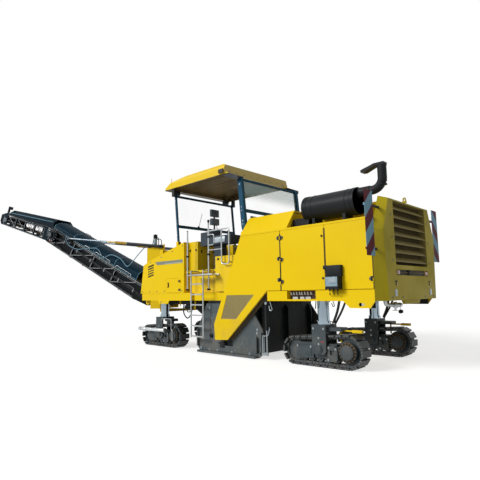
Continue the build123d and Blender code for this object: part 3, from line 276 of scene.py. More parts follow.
def bare_metal(name, colour, rough, along, metal=1.0):
    """Bright metal with fine lines, drawn out by along in X, Y and Z."""
    bare = Finish(name)
    lines = bare.cloud(0.02, 3.0, 0.6, along)
    smear = bare.cloud(0.5, 4.0).between(0.35, 0.75)
    bare.surface(Base_Color=bare.blend(smear * 0.6 + lines * 0.3, colour, tuple(c * 0.6 for c in colour)),
                 Metallic=metal, Roughness=lines * 0.16 + smear * 0.08 + rough, Normal=bare.dent(lines, 0.0003))
    return bare.owner


# ---- Lifting columns, rods, rails and ladders: chromed and stainless steel ----
# The columns and cylinder rods are hard chromed and ground. Rails, ladders and the water
# filler are brushed stainless tube.
chrome = bare_metal("chromed_column", (0.34, 0.42, 0.48), 0.07, (1.0, 1.0, 0.1))
stainless = bare_metal("stainless_tube", (0.46, 0.49, 0.5), 0.24, (1.0, 1.0, 0.1))
dress(chrome, "leg_front_left", "leg_front_right", "leg_rear_left", "leg_rear_right")
dress(stainless, "ladders", "handrails", "water_filler")

# ---- Milling drum and tracks: bare and rubbed steel ----
# The drum and its pick holders are rusty cast steel, ground bright by asphalt. The track
# shoes are dark steel with worn edges and dried mud.
drum_steel = paint_coat("drum_steel", (0.09, 0.07, 0.055), (0.16, 0.12, 0.085), 0.55, 1.2, 0.5, 0.003)
dress(drum_steel, "milling_drum")
track_steel = paint_coat("track_steel", (0.02, 0.026, 0.03), (0.075, 0.08, 0.08), 0.42, 0.8, 0.4, 0.002, 0.35)
dress(track_steel, "track_front_left", "track_front_right", "track_rear_left", "track_rear_right")

# ---- Silencer, control box, consoles and belts: black parts ----
# The silencer has a heat-proof satin coat; consoles are moulded plastic with a fine grain;
# the conveyor belt is ribbed rubber under dust.
heat_black = paint_coat("heat_black", (0.014, 0.016, 0.018), (0.026, 0.029, 0.032), 0.42, 1.4, 0.15, 0.0008, 0.1)
dress(heat_black, "muffler")
moulded = paint_coat("moulded_black", (0.012, 0.017, 0.022), (0.026, 0.034, 0.042), 0.5, 1.0, 0.1, 0.0008, 0.15)
dress(moulded, "control_box")
console_blue = paint_coat("console_blue", (0.03, 0.044, 0.062), (0.06, 0.082, 0.105), 0.45, 1.0, 0.1, 0.0008, 0.2)
dress(console_blue, "consoles")
belt_rubber = paint_coat("belt_rubber", (0.016, 0.016, 0.017), (0.045, 0.042, 0.038), 0.72, 3.2, 0.5, 0.001, 0.2)
dress(belt_rubber, "lower_belt", "tip_belt")

# ---- Lifting cylinders' rods: chromed, with a painted sleeve at the barrel ----
# A ground rod; the sleeve next to the barrel is yellow, and its place follows the slewed ram.
(ROD_START, *_), (ROD_END, *_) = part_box("ram_rods")
sleeve = Finish("ram_rod")
along_rod = (sleeve.place("X") - ROD_START) / (ROD_END - ROD_START)
painted = 1.0 - along_rod.between(0.335, 0.34)
rings = sleeve.cloud(0.03, 3.0)
ground = sleeve.blend(rings, (0.13, 0.16, 0.18), (0.08, 0.1, 0.12))
coated = sleeve.blend(rings, YELLOW_WORN, (0.4, 0.26, 0.02))
sleeve.surface(Base_Color=sleeve.blend(painted, ground, coated), Metallic=1.0 - painted, Roughness=rings * 0.12 + 0.2,
               Normal=sleeve.dent(rings, 0.0003))
dress(sleeve.owner, "ram_rods")

# ---- Lifting cylinders' barrels: black coat with a yellow gland at the rod's end ----
# Thick tube; the last part before the rod is the yellow gland nut and its sleeve.
RAM_FOOT_X, RAM_SLEW, GLAND = 3.95, radians(22.0), 1.02    # both barrels lie along the slewed conveyor
barrel = Finish("ram_barrel")
along_barrel = (barrel.place("X") - RAM_FOOT_X) * cos(RAM_SLEW) + barrel.place("Y") * sin(RAM_SLEW)
gland = along_barrel > GLAND
band_edge = (along_barrel > GLAND - 0.02) * (along_barrel < GLAND)
rub = barrel.cloud(0.08, 5.0)
tube = barrel.blend(rub, (0.003, 0.005, 0.007), (0.012, 0.016, 0.019))
nut = barrel.blend(gland, tube, (0.42, 0.26, 0.01))
barrel.surface(Base_Color=barrel.blend(band_edge, nut, (0.3, 0.33, 0.35)), Roughness=rub * 0.2 + 0.36,
               Specular_IOR_Level=0.2, Normal=barrel.dent(rub, 0.0006))
dress(barrel.owner, "ram_barrels")

# ---- Operator's platform: yellow bulkheads with a grey non-slip floor ----
# Painted sheet; the walking surface has a sanded grey coat, told apart by its height.
deck = Finish("platform_paint")
floor_share = (deck.facing("Z") > 0.7) * (deck.place("Z") < 2.0)
sand = deck.cloud(0.012, 3.0, 0.8)
patch = deck.cloud(0.8, 5.0).between(0.4, 0.7)
sheet = deck.blend(patch * 0.4, YELLOW, YELLOW_WORN)
sanded = deck.blend(patch, (0.04, 0.042, 0.044), (0.09, 0.084, 0.074))
deck.surface(Base_Color=deck.blend(floor_share, sheet, sanded), Roughness=floor_share * 0.5 + patch * 0.1 + 0.32,
             Specular_IOR_Level=0.35, Normal=deck.dent(sand * floor_share, 0.003))
dress(deck.owner, "platform")

# ---- Canopy roof: a moulded shell, yellow outside and brown inside, with black lugs ----
# Reinforced plastic with a gel coat. Its faces towards the tail are painted khaki, broken by spots, as painted
# shade. The underside is a textured liner; the lugs and lamps below it are black.
ROOF_FOOT = 4.165
shell = Finish("roof_shell")
inside, across, height = shell.place("X"), shell.off_middle(), shell.place("Z")
hanging = (height < ROOF_FOOT - 0.002).most(across > 1.1825)
lining = (inside > 0.028) * (inside < 2.202) * (across < 1.1505) * (height < ROOF_FOOT + 0.217)
weave = shell.cloud(0.03, 4.0, 0.7)
age = shell.cloud(0.9, 5.0).between(0.4, 0.7)
spots = shell.cloud(0.05, 3.0, 0.8).between(0.6, 0.66)
# Faces that look back towards the tail are painted khaki as painted shade.
rear_face_painted_shade = (shell.facing("X") < -0.9) * (0.75 - spots * 0.5)
outside = shell.blend(rear_face_painted_shade, shell.blend(age * 0.35, YELLOW, YELLOW_WORN), (0.56, 0.47, 0.21))
liner = shell.blend(age, (0.17, 0.125, 0.06), (0.1, 0.078, 0.042))
shell.surface(Base_Color=shell.blend(hanging, shell.blend(lining, outside, liner), (0.012, 0.014, 0.017)),
              Roughness=lining * 0.35 + age * 0.1 + 0.28, Specular_IOR_Level=0.3,
              Normal=shell.dent(weave * lining, 0.002))
dress(shell.owner, "canopy_roof")

# ---- Warning boards: reflective red and pale stripes that run down and outwards ----
# Aluminium sheet with reflective film, one board each side of the tail, on black brackets.
board = Finish("board_film")
across = board.off_middle()
band = ((board.place("Z") + across) * 2.05 + 0.5) % 1.0
on_face = across > 1.299
glint = board.cloud(0.01, 2.0)
wear = board.cloud(0.25, 5.0).between(0.5, 0.8)
film = board.blend(band > 0.5, (0.2, 0.39, 0.5), (0.09, 0.005, 0.014))
board.surface(Base_Color=board.blend(on_face, (0.02, 0.02, 0.022), board.blend(wear * 0.12, film, ROAD_DUST)),
              Roughness=glint * 0.15 + wear * 0.2 + 0.45, Specular_IOR_Level=0.1, Normal=board.dent(glint, 0.0003))
dress(board.owner, "warning_boards")

# ---- Fastenings: hexagon screws, washers and small pads, set out over the whole machine ----
# Zinc-plated and painted hexagon screws. Each group is one Geometry Nodes tree that sets a
# head on every point and turns it to face the way that the point's sheet faces.
screw_zinc = bare_metal("zinc_screws", (0.17, 0.18, 0.19), 0.34, (1.0, 1.0, 1.0))
black_part = paint_coat("black_fittings", (0.006, 0.008, 0.01), (0.016, 0.018, 0.021), 0.46, 1.0, 0.1, 0.0006, 0.15)


def repeat_tree(name, shape, finish):
    """A tree that sets one small solid on each point; shape is screw, block, hole or ring."""
    tree = bpy.data.node_groups.new(name, "GeometryNodeTree")
    tree.interface.new_socket("Places", in_out="INPUT", socket_type="NodeSocketGeometry")
    for size in ("Width", "Depth", "Height"):
        tree.interface.new_socket(size, in_out="INPUT", socket_type="NodeSocketFloat")
    tree.interface.new_socket("Pieces", in_out="OUTPUT", socket_type="NodeSocketGeometry")

    def add(kind, settings=(), values=()):
        made = tree.nodes.new(kind)
        for key, value in dict(settings).items():
            setattr(made, key, value)
        for key, value in dict(values).items():
            if hasattr(value, "is_output"):
                tree.links.new(value, made.inputs[key])
            else:
                made.inputs[key].default_value = value
        return made

    def scaled(value, by):
        return add("ShaderNodeMath", {"operation": "MULTIPLY"}, {0: value, 1: by}).outputs[0]

    def read(label):
        return add("GeometryNodeInputNamedAttribute", {"data_type": "FLOAT_VECTOR"}, {"Name": label}).outputs[0]

    given = add("NodeGroupInput").outputs
    if shape == "block":
        size = add("ShaderNodeCombineXYZ", {}, {0: given["Width"], 1: given["Depth"], 2: given["Height"]}).outputs[0]
        solid = add("GeometryNodeMeshCube", {}, {"Size": size}).outputs[0]
    else:
        sides = {"screw": 6, "hole": 8, "ring": 18}[shape]
        radius = scaled(given["Width"], 0.5)
        head = add("GeometryNodeMeshCylinder", {}, {"Vertices": sides, "Radius": radius, "Depth": given["Height"]})
        solid = head.outputs["Mesh"]
        if shape == "screw":
            wide, thin = scaled(given["Width"], 0.85), scaled(given["Height"], 0.3)
            washer = add("GeometryNodeMeshCylinder", {}, {"Vertices": 12, "Radius": wide, "Depth": thin})
            both = add("GeometryNodeJoinGeometry")
            tree.links.new(head.outputs["Mesh"], both.inputs[0])
            tree.links.new(washer.outputs["Mesh"], both.inputs[0])
            solid = both.outputs[0]
    raise_by = add("ShaderNodeCombineXYZ", {}, {2: scaled(given["Height"], 0.5)}).outputs[0]
    solid = add("GeometryNodeTransform", {}, {"Geometry": solid, "Translation": raise_by}).outputs[0]
    upright = add("FunctionNodeAlignRotationToVector", {"axis": "Z"}, {"Vector": read("out")}).outputs[0]
    turned = add("FunctionNodeAlignRotationToVector", {"axis": "X", "pivot_axis": "Z"},
                 {"Rotation": upright, "Vector": read("along")}).outputs[0]
    setting = {"Points": given["Places"], "Instance": solid, "Rotation": turned}
    placed = add("GeometryNodeInstanceOnPoints", {}, setting).outputs[0]
    real = add("GeometryNodeRealizeInstances", {}, {"Geometry": placed}).outputs[0]
    done = add("GeometryNodeSetMaterial", {}, {"Geometry": real, "Material": finish}).outputs[0]
    tree.links.new(done, add("NodeGroupOutput").inputs[0])
    return tree


def repeat(name, tree, places, body, width, height, depth=0.0):
    """Runs a tree on places, each (point, out) or (point, out, along), into one plain mesh."""
    mesh = bpy.data.meshes.new(name)
    mesh.from_pydata([place[0] for place in places], [], [])
    for number, label in ((1, "out"), (2, "along")):
        facing = mesh.attributes.new(label, "FLOAT_VECTOR", "POINT")
        for value, place in zip(facing.data, places):
            value.vector = place[number] if len(place) > number else (place[1][2], place[1][0], place[1][1])
    made = bpy.data.objects.new(name, mesh)
    bpy.context.scene.collection.objects.link(made)
    run = made.modifiers.new("repeat", "NODES")
    run.node_group = tree
    sizes = {"Width": width, "Depth": depth, "Height": height}
    for socket in tree.interface.items_tree:
        if socket.in_out == "INPUT" and socket.name in sizes:
            run[socket.identifier] = sizes[socket.name]
    plain = bpy.data.meshes.new_from_object(made.evaluated_get(bpy.context.evaluated_depsgraph_get()))
    made.modifiers.clear()
    made.data = plain
    plain.name = name
    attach(made, body)
    return made


screws = repeat_tree("hexagon_screws", "screw", screw_zinc)
black_screws = repeat_tree("black_screws", "screw", black_part)

# ---- Side doors: black strap hinges, locks, edge seals and screws ----
# Pressed steel doors. Each hangs on forged black hinges with two screws in each leaf, and has
# one black turn lock near its free edge.
form = bmesh.new()                   # the piece being drawn; fit() takes it over and clears it
SIDES = ((1, "left"), (-1, "right"))


def circle(count):
    """Cosine and sine at even steps round a circle."""
    return [(cos(tau * i / count), sin(tau * i / count)) for i in range(count)]


def span(middle, half):
    """A pair of limits about a middle."""
    return middle - half, middle + half


def slab(xs, ys, zs, side=1):
    """A plate or block between pairs of limits; side -1 sets it on the right."""
    corners = [form.verts.new((x, y * side, z)) for x in xs for y in ys for z in zs]
    for face in ((0, 1, 3, 2), (4, 6, 7, 5), (0, 4, 5, 1), (2, 3, 7, 6), (0, 2, 6, 4), (1, 5, 7, 3)):
        form.faces.new([corners[i] for i in face])


def round_bar(start, end, radius, end_radius=None, sides=16):
    """A round bar or disc between two points, closed at both ends."""
    start, end = Vector(start), Vector(end)
    turn = (end - start).to_track_quat("Z", "Y").to_matrix()
    rings = []
    for centre, size in ((start, radius), (end, radius if end_radius is None else end_radius)):
        rings.append([form.verts.new(centre + turn @ Vector((size * c, size * s, 0))) for c, s in circle(sides)])
    for i in range(sides):
        j = (i + 1) % sides
        form.faces.new((rings[0][i], rings[0][j], rings[1][j], rings[1][i]))
    form.faces.new(rings[0][::-1])
    form.faces.new(rings[1])


def disc(centre, thick, radius, end_radius=None, sides=16):
    """A round bar or disc that stands out sideways from centre by a signed thickness."""
    x, y, z = centre
    round_bar(centre, (x, y + thick, z), radius, end_radius, sides)


def fit(name, finish, bevel=0.0, body="chassis", smooth=35):
    """Closes the form into a finished piece; one with no body is left unattached."""
    bmesh.ops.recalc_face_normals(form, faces=form.faces)
    if bevel:
        edges = [e for e in form.edges if len(e.link_faces) == 2 and e.calc_face_angle(0.0) > 0.7]
        bmesh.ops.bevel(form, geom=edges, offset=bevel, segments=2, profile=0.6, affect="EDGES", clamp_overlap=True)
    mesh = bpy.data.meshes.new(name)
    form.to_mesh(mesh)
    form.clear()
    mesh.materials.append(finish)
    mesh.shade_smooth()
    mesh.set_sharp_from_angle(angle=radians(smooth))
    made = bpy.data.objects.new(name, mesh)
    bpy.context.scene.collection.objects.link(made)
    if body:
        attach(made, body)
    return made


LOCKS = {"rear": (1.55,), "middle": (1.62, 2.4), "front": ()}
DOORS = {"rear": (1, (1.58, 2.46)), "middle": (-1, (1.58, 2.02, 2.46)), "front": (1, (1.62, 2.04, 2.46))}
SEAL = (1.41, 2.54)
for side, hand in SIDES:
    for place, (toward, heights) in DOORS.items():
        body = f"body_door_{hand}_{place}"
        low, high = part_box(f"door_{hand}_{place}")
        face = 1.25 * side
        edge = low[0] + 0.03 if toward > 0 else high[0] - 0.03
        for z in heights:
            slab(span(edge, 0.02), (face, face + side * 0.016), span(z, 0.04))
            slab((edge, edge + toward * 0.05), (face, face + side * 0.007), span(z, 0.026))
        free = high[0] - 0.05 if toward > 0 else low[0] + 0.05
        for z in LOCKS[place]:
            disc((free, face, z), side * 0.012, 0.02)
            slab(span(free, 0.006), (face, face + side * 0.02), span(z, 0.016))
        for x in (low[0] + 0.007, high[0] - 0.007):
            slab(span(x, 0.0065), (face, face + side * 0.0022), SEAL)
        fit(f"door_hardware_{hand}_{place}", black_part, 0.003, body)
        repeat(f"door_screws_{hand}_{place}", screws,
               [((edge + toward * x, face + side * 0.006, z + dz), (0, side, 0)) for z in heights
                for x, dz in ((0.032, -0.013), (0.032, 0.013))], body, 0.013, 0.006)

# ---- Perforated panel in the left front door, over the belt drive ----
# A punched sheet in a folded rim, coated sand-coloured, that lets the belt drive's heat out. Its holes
# are dark discs on the face, as painted shade.


def sheet_plate(outline, normal, thick):
    """A flat plate from an outline of points, thick along normal."""
    shift = Vector(normal).normalized() * thick
    low = [form.verts.new(Vector(p)) for p in outline]
    high = [form.verts.new(Vector(p) + shift) for p in outline]
    form.faces.new(low)
    form.faces.new(high)
    for i in range(len(outline)):
        j = (i + 1) % len(outline)
        form.faces.new((low[i], low[j], high[j], high[i]))


def side_sheet(outline, y, thick):
    """An upright plate from an (x, z) outline at y, outward by a signed thickness."""
    sheet_plate([(x, y, z) for x, z in outline], (0, 1, 0), thick)


PANEL = [(-0.94, 1.335), (-0.11, 1.33), (0.09, 0.8), (-0.39, 0.81)]
PANEL_FACE = 1.25 - 0.012
sand_coat = paint_coat("perforated_panel", (0.33, 0.265, 0.095), (0.27, 0.215, 0.085), 0.5, 1.4, 0.3, 0.0006, 0.3)
# The holes' dark brown is painted shade.
hole_painted_shade = paint_coat("panel_holes", (0.05, 0.04, 0.016), (0.03, 0.026, 0.014), 0.8, 1.4, 0.2, 0.0004, 0.1)
side_sheet(PANEL, PANEL_FACE + 0.0002, 0.003)
fit("perforated_panel", sand_coat, body="body_door_left_front")
PITCH = 0.0145
holes = []
for row in range(36):
    for step in range(72):
        x, z = -0.93 + (step + 0.5 * (row % 2)) * PITCH, 0.815 + row * PITCH
        if all(((x - ax) * (bz - az) - (z - az) * (bx - ax)) / hypot(bx - ax, bz - az) > 0.014
               for (ax, az), (bx, bz) in zip(PANEL, PANEL[1:] + PANEL[:1])):
            holes.append(((x, PANEL_FACE + 0.0031, z), (0, 1, 0)))
repeat("panel_perforations", repeat_tree("perforations", "hole", hole_painted_shade), holes, "body_door_left_front",
       0.0085, 0.0004)

# ---- Front hood: printed stripe, louvre baffles, hatch lock and hinges ----
# The stripe is plain grey film with a dark upper edge. Behind each slot stands a black baffle, and black
# strips on the face mark the slots as painted shade. The hatch closes with a recessed black handle.
HOOD_FACE = 1.1
film_grey = paint_coat("stripe_film", (0.19, 0.215, 0.175), (0.15, 0.17, 0.15), 0.35, 1.0, 0.1, 0.0002, 0.4)
film_pale = paint_coat("stripe_film_pale", (0.42, 0.44, 0.42), (0.33, 0.35, 0.33), 0.35, 1.0, 0.1, 0.0002, 0.4)
for side, hand in SIDES:
    face = HOOD_FACE * side
    side_sheet([(1.66, 2.165), (2.8, 2.165), (2.88, 2.255), (1.66, 2.255)], face, 0.0012 * side)
    fit(f"hood_stripe_{hand}", film_grey)
    side_sheet([(1.66, 2.172), (2.45, 2.172), (2.43, 2.19), (1.66, 2.19)], (HOOD_FACE + 0.0012) * side, 0.0008 * side)
    fit(f"hood_stripe_edge_{hand}", film_pale)
    slab((2.93, 3.26), (HOOD_FACE - 0.03, HOOD_FACE - 0.0255), (1.83, 2.2), side)
    for i in range(5):
        z = 1.85 + i * 0.064
        side_sheet([(2.965, z + 0.052), (3.225, z + 0.004), (3.225, z + 0.012), (2.965, z + 0.06)],
                   (HOOD_FACE - 0.0255) * side, 0.02 * side)
    # Black strips on the hood's face: painted shade in the slots.
    for i in range(5):
        z = 1.846 + i * 0.072
        side_sheet([(2.95, z + 0.046), (3.23, z - 0.01), (3.23, z + 0.016), (2.95, z + 0.072)], face, 0.0015 * side)
    fit(f"louvre_baffle_{hand}", black_part)
    rim = ((1.7, 1.45), (2.45, 1.45), (2.8, 1.45), (3.15, 1.45), (3.5, 1.45), (1.66, 2.6), (2.1, 2.49), (2.6, 2.37),
           (3.1, 2.25))
    repeat(f"hood_screws_{hand}", screws, [((x, face, z), (0, side, 0)) for x, z in rim], "chassis",
           0.02, 0.01)
slab((2.245, 2.315), (HOOD_FACE, HOOD_FACE + 0.006), (1.545, 1.675))
round_bar((2.28, HOOD_FACE + 0.004, 1.61), (2.28, HOOD_FACE + 0.012, 1.61), 0.022)
fit("hatch_lock", black_part, 0.002, "hatch")
for z in (1.48, 1.7):
    slab((1.752, 1.835), (HOOD_FACE, HOOD_FACE + 0.01), span(z, 0.028))
fit("hatch_hinges", black_part, 0.003, "hatch")

# ---- Tail: radiator core, tail lamps, reflectors and screws ----
# Behind the slats stands the radiator with upright fins, its brown part dust and part painted light
# that lifts the shaded recess. The lamps sit in a black rail below it, and the reflectors are moulded plates.


def post(x, y, low, high, radius, end_radius=None, sides=16):
    """An upright round bar."""
    round_bar((x, y, low), (x, y, high), radius, end_radius, sides)


def level(start, end, y, z, radius, end_radius=None, sides=16):
    """A round bar that lies along the machine."""
    round_bar((start, y, z), (end, y, z), radius, end_radius, sides)


TAIL = -3.8
# The radiator's brown is lightened past its dusty colour as painted light in the recess; the lamp rail shares it.
radiator_dust_painted_light = paint_coat("radiator_core", (0.21, 0.17, 0.085), (0.12, 0.1, 0.055), 0.7, 1.0, 0.1, 0.001, 0.1)
slab((-3.662, -3.6515), (-0.698, 0.698), (1.822, 2.958))
fit("radiator_core", radiator_dust_painted_light)
repeat("radiator_fins", repeat_tree("fins", "block", radiator_dust_painted_light),
       [((-3.664, -0.69 + i * 0.0125, 2.39), (-1, 0, 0), (0, 1, 0)) for i in range(111)], "chassis",
       0.003, 0.008, 1.12)


def lamp_lens(name, bright, deep):
    """Moulded lamp plastic with fine ribs below a clear skin."""
    lens = Finish(name)
    ribs = lens.cloud(0.01, 1.0)
    lens.surface(Base_Color=lens.blend(ribs, bright, deep), Roughness=ribs * 0.1 + 0.12, Coat_Weight=0.6,
                 Normal=lens.dent(ribs, 0.001))
    return lens.owner


lens_red = lamp_lens("red_lens", (0.3, 0.008, 0.006), (0.16, 0.004, 0.004))
lens_clear = lamp_lens("clear_lens", (0.42, 0.5, 0.55), (0.26, 0.32, 0.36))
pale_plate = lamp_lens("pale_blue_plates", (0.27, 0.4, 0.48), (0.2, 0.31, 0.38))
slab((TAIL + 0.024, TAIL + 0.034), (-0.69, 0.69), (1.645, 1.735))
slab((TAIL + 0.004, TAIL + 0.026), (-0.545, 0.545), (1.683, 1.697))
fit("lamp_rail", radiator_dust_painted_light, 0.003)
for y0, y1 in ((-0.535, 0.14), (0.25, 0.535)):
    for z0, z1 in ((1.652, 1.676), (1.703, 1.728)):
        slab((TAIL + 0.016, TAIL + 0.026), (y0, y1), (z0, z1))
post(TAIL + 0.012, 0.19, 1.642, 1.738, 0.026)
for y in (-0.74, 0.74):
    slab((TAIL - 0.008, TAIL), span(y, 0.04), (1.52, 1.545))
    level(TAIL, TAIL - 0.01, y, 1.485, 0.026)
fit("tail_slots", black_part, 0.002)
for y in (-0.62, 0.62):
    slab((TAIL + 0.002, TAIL + 0.0118), span(y, 0.06), (1.66, 1.72))
for y in (-0.74, 0.74):
    level(TAIL - 0.01, TAIL - 0.013, y, 1.485, 0.019)
fit("tail_lamps", lens_red, 0.002)
for y in (-0.77, 0.77):
    slab((TAIL - 0.006, TAIL), span(y, 0.045), (1.275, 1.395))
fit("reflectors", pale_plate, 0.002)
repeat("tail_screws", screws, [((TAIL, y, z), (-1, 0, 0)) for y in (-0.8, 0.8) for z in (1.9, 2.3, 2.7)]
       + [((TAIL, y, 1.255), (-1, 0, 0)) for y in (-0.9, -0.5, 0.5, 0.9)], "chassis", 0.022, 0.01)

# ---- Edge plates: screws, hooks, wear welds and the lifting cylinder behind each ----
# The plates float on the ground beside the drum. A small cylinder on the frame lifts each by
# its rear rib; weld beads mark the drum's circle, and towing hooks stand on the outside.


def bent_tube(points, radius, bend=0.05, sides=12, side=1):
    """A tube along points, its corners rounded, closed at both ends; side -1 sets it on the right."""
    points = [Vector((x, y * side, z)) for x, y, z in points]
    path = [points[0]]
    for before, corner, after in zip(points, points[1:], points[2:]):
        cut = min(bend, (before - corner).length * 0.45, (after - corner).length * 0.45)
        a, b = corner + (before - corner).normalized() * cut, corner + (after - corner).normalized() * cut
        path += [a.lerp(corner, t).lerp(corner.lerp(b, t), t) for t in (0.0, 0.25, 0.5, 0.75, 1.0)]
    path.append(points[-1])
    rings, out = [], (path[1] - path[0]).orthogonal().normalized()
    for i, centre in enumerate(path):
        ahead = (path[min(i + 1, len(path) - 1)] - path[max(i - 1, 0)]).normalized()
        out = (out - ahead * out.dot(ahead)).normalized()
        up = ahead.cross(out)
        rings.append([form.verts.new(centre + (out * c + up * s) * radius) for c, s in circle(sides)])
    for first, second in zip(rings, rings[1:]):
        for k in range(sides):
            n = (k + 1) % sides
            form.faces.new((first[k], first[n], second[n], second[k]))
    form.faces.new(rings[0][::-1])
    form.faces.new(rings[-1])


bright_bolt = bare_metal("rubbed_bolts", (0.3, 0.34, 0.36), 0.28, (1.0, 1.0, 1.0))
bright_screws = repeat_tree("bright_screws", "screw", bright_bolt)


def lathed(centre, outline):
    """A plumb turned ring from a closed outline of (radius, height) points, inner edge first."""
    rings = [[form.verts.new((centre[0] + r * c, centre[1] + r * s, z)) for c, s in circle(24)] for r, z in outline]
    for ring, following in zip(rings, rings[1:] + rings[:1]):
        for i in range(24):
            form.faces.new((ring[i], ring[i - 1], following[i - 1], following[i]))


for side, hand in SIDES:
    body, face = f"edge_plate_{hand}", 1.121 * side
    points = ((-0.9, 0.6), (-0.89, 0.53), (0.53, 0.81), (0.53, 0.62), (0.91, 0.1), (-0.12, 0.075), (-0.66, 0.085),
              (0.6, 1.04), (0.35, 0.085), (0.62, 0.08))
    repeat(f"edge_plate_screws_{hand}", bright_screws, [((x, face, z), (0, side, 0)) for x, z in points], body,
           0.034, 0.014)
    slab((0.11, 0.27), (face, face + side * 0.0055), (0.15, 0.262))
    slab((0.15, 0.31), (face, face + side * 0.005), (0.23, 0.275))
    slab((-0.955, -0.895), (face, face + side * 0.004), (0.12, 0.43))
    disc((0.55, face, 0.4), side * 0.035, 0.045)
    fit(f"edge_plate_hooks_{hand}", black_part, 0.006, body)
    slab((-0.885, -0.872), (face, face + side * 0.03), (0.1, 0.46))
    slab((-0.98, -0.967), (face, face + side * 0.03), (0.1, 0.46))
    slab((-0.75, 0.86), (face, face + side * 0.008), (0.062, 0.1))
    slab((0.34, 0.62), (face, face + side * 0.01), (0.62, 0.9))
    fit(f"edge_plate_straps_{hand}", plate_coat, 0.003, body)
    for low, high, radius in ((196, 246, 0.535), (252, 282, 0.528)):
        turns = [radians(low + (high - low) * i / 9) for i in range(10)]
        bent_tube([(0.03 + radius * cos(a), face, 0.56 + 0.92 * radius * sin(a)) for a in turns], 0.0045, 0.02, 6)
    fit(f"edge_plate_weld_{hand}", bright_bolt, body=body)
    # lifting cylinder: barrel on the frame, rod and clevis on the plate
    barrel_wall = ((0.02, 0.6), (0.042, 0.6), (0.042, 0.62), (0.036, 0.62), (0.036, 1.13), (0.02, 1.13))
    lathed((-1.165, 1.135 * side), barrel_wall)
    slab((-1.235, -1.16), (1.1, 1.17), (1.12, 1.205), side)
    fit(f"plate_cylinder_{hand}", black_part, 0.004)
    round_bar((-1.196, 1.12 * side, 1.155), (-1.196, 1.19 * side, 1.155), 0.03)
    bent_tube([(-1.3, 1.17, 1.19), (-1.36, 1.17, 1.02), (-1.3, 1.18, 1.0), (-1.275, 1.17, 1.1)], 0.011, 0.03, 8,
              side=side)
    fit(f"plate_cylinder_pin_{hand}", bright_bolt)
    post(-1.165, 1.135 * side, 0.83, 0.13, 0.016)
    slab((-1.19, -1.03), (1.115, 1.15), (0.09, 0.155), side)
    slab((-1.075, -1.055), (1.1, 1.16), (0.14, 0.5), side)
    bent_tube([(-1.06, 1.15, 0.48), (-1.11, 1.19, 0.485), (-1.24, 1.19, 0.5), (-1.28, 1.18, 0.62),
               (-1.25, 1.15, 0.66)], 0.01, 0.03, 8, side=side)
    fit(f"plate_lift_rod_{hand}", bright_bolt, body=body)

# ---- Belt drive's case: rim flange along its sloping foot ----
# Folded sheet in the case's brown, which is painted shade. The flange stiffens the case's open foot and stands clear
# of the plate.
side_sheet([(-1.24, 1.365), (-0.105, 0.372), (-0.145, 0.327), (-1.28, 1.32)], 1.133, 0.006)
fit("belt_case_flange", belt_case_painted_shade)

# ---- Drum box: ribs and splash plates on the dark side walls ----
# Upright ribs stiffen the wall behind the plates, where the box hangs below the frame.
for side in (1, -1):
    for x in (-0.66, 0.66):
        slab(span(x, 0.01), (1.06, 1.074), (0.42, 1.16), side)
fit("drum_box_ribs", anthracite, 0.002)
for side in (1, -1):
    slab((-0.2, 0.2), (1.062, 1.072), (0.075, 0.44), side)
fit("shaft_splash_plates", anthracite, 0.002)

# ---- Crawler tracks: chain links, pins, pad screws, roller flanges and hub rings ----
# Forged link plates run each side of the chain, with a pin at every joint. Each pad is held
# by screws from its inner face. The hub's flange is rusty where the coat has burnt off.
LEGS = {"front_left": (2.63, 0.94), "front_right": (2.63, -0.94), "rear_left": (-2.47, 1.0),
        "rear_right": (-2.47, -1.0)}
# (x, z) from the leg; z is also the radius out to the pads' tips.
HUB, IDLER = Vector((-0.55, 0.305)), Vector((0.6, 0.27))
ROLLER_Z, RAM_Z = 0.1593, 0.44


def loop_line(inset, count):
    """Points and directions at even steps round the belt line, inset from the pads' tips."""
    rim = [centre + (centre.y - inset) * Vector((c, s)) for centre in (HUB, IDLER) for c, s in circle(240)]
    rim.sort(key=lambda p: (p.x, p.y))
    chain = []
    for points in (rim, rim[::-1]):
        part = []
        for p in points:
            while len(part) > 1 and (part[-1] - part[-2]).cross(p - part[-2]) <= 0:
                part.pop()
            part.append(p)
        chain += part[:-1]
    steps = [(b - a).length for a, b in zip(chain, chain[1:] + chain[:1])]
    total, out, i, gone = sum(steps), [], 0, 0.0
    for k in range(count):
        goal = total * k / count
        while gone + steps[i] < goal:
            gone, i = gone + steps[i], i + 1
        a, b = chain[i], chain[(i + 1) % len(chain)]
        out.append((a.lerp(b, (goal - gone) / steps[i]), (b - a).normalized()))
    return out, total / count


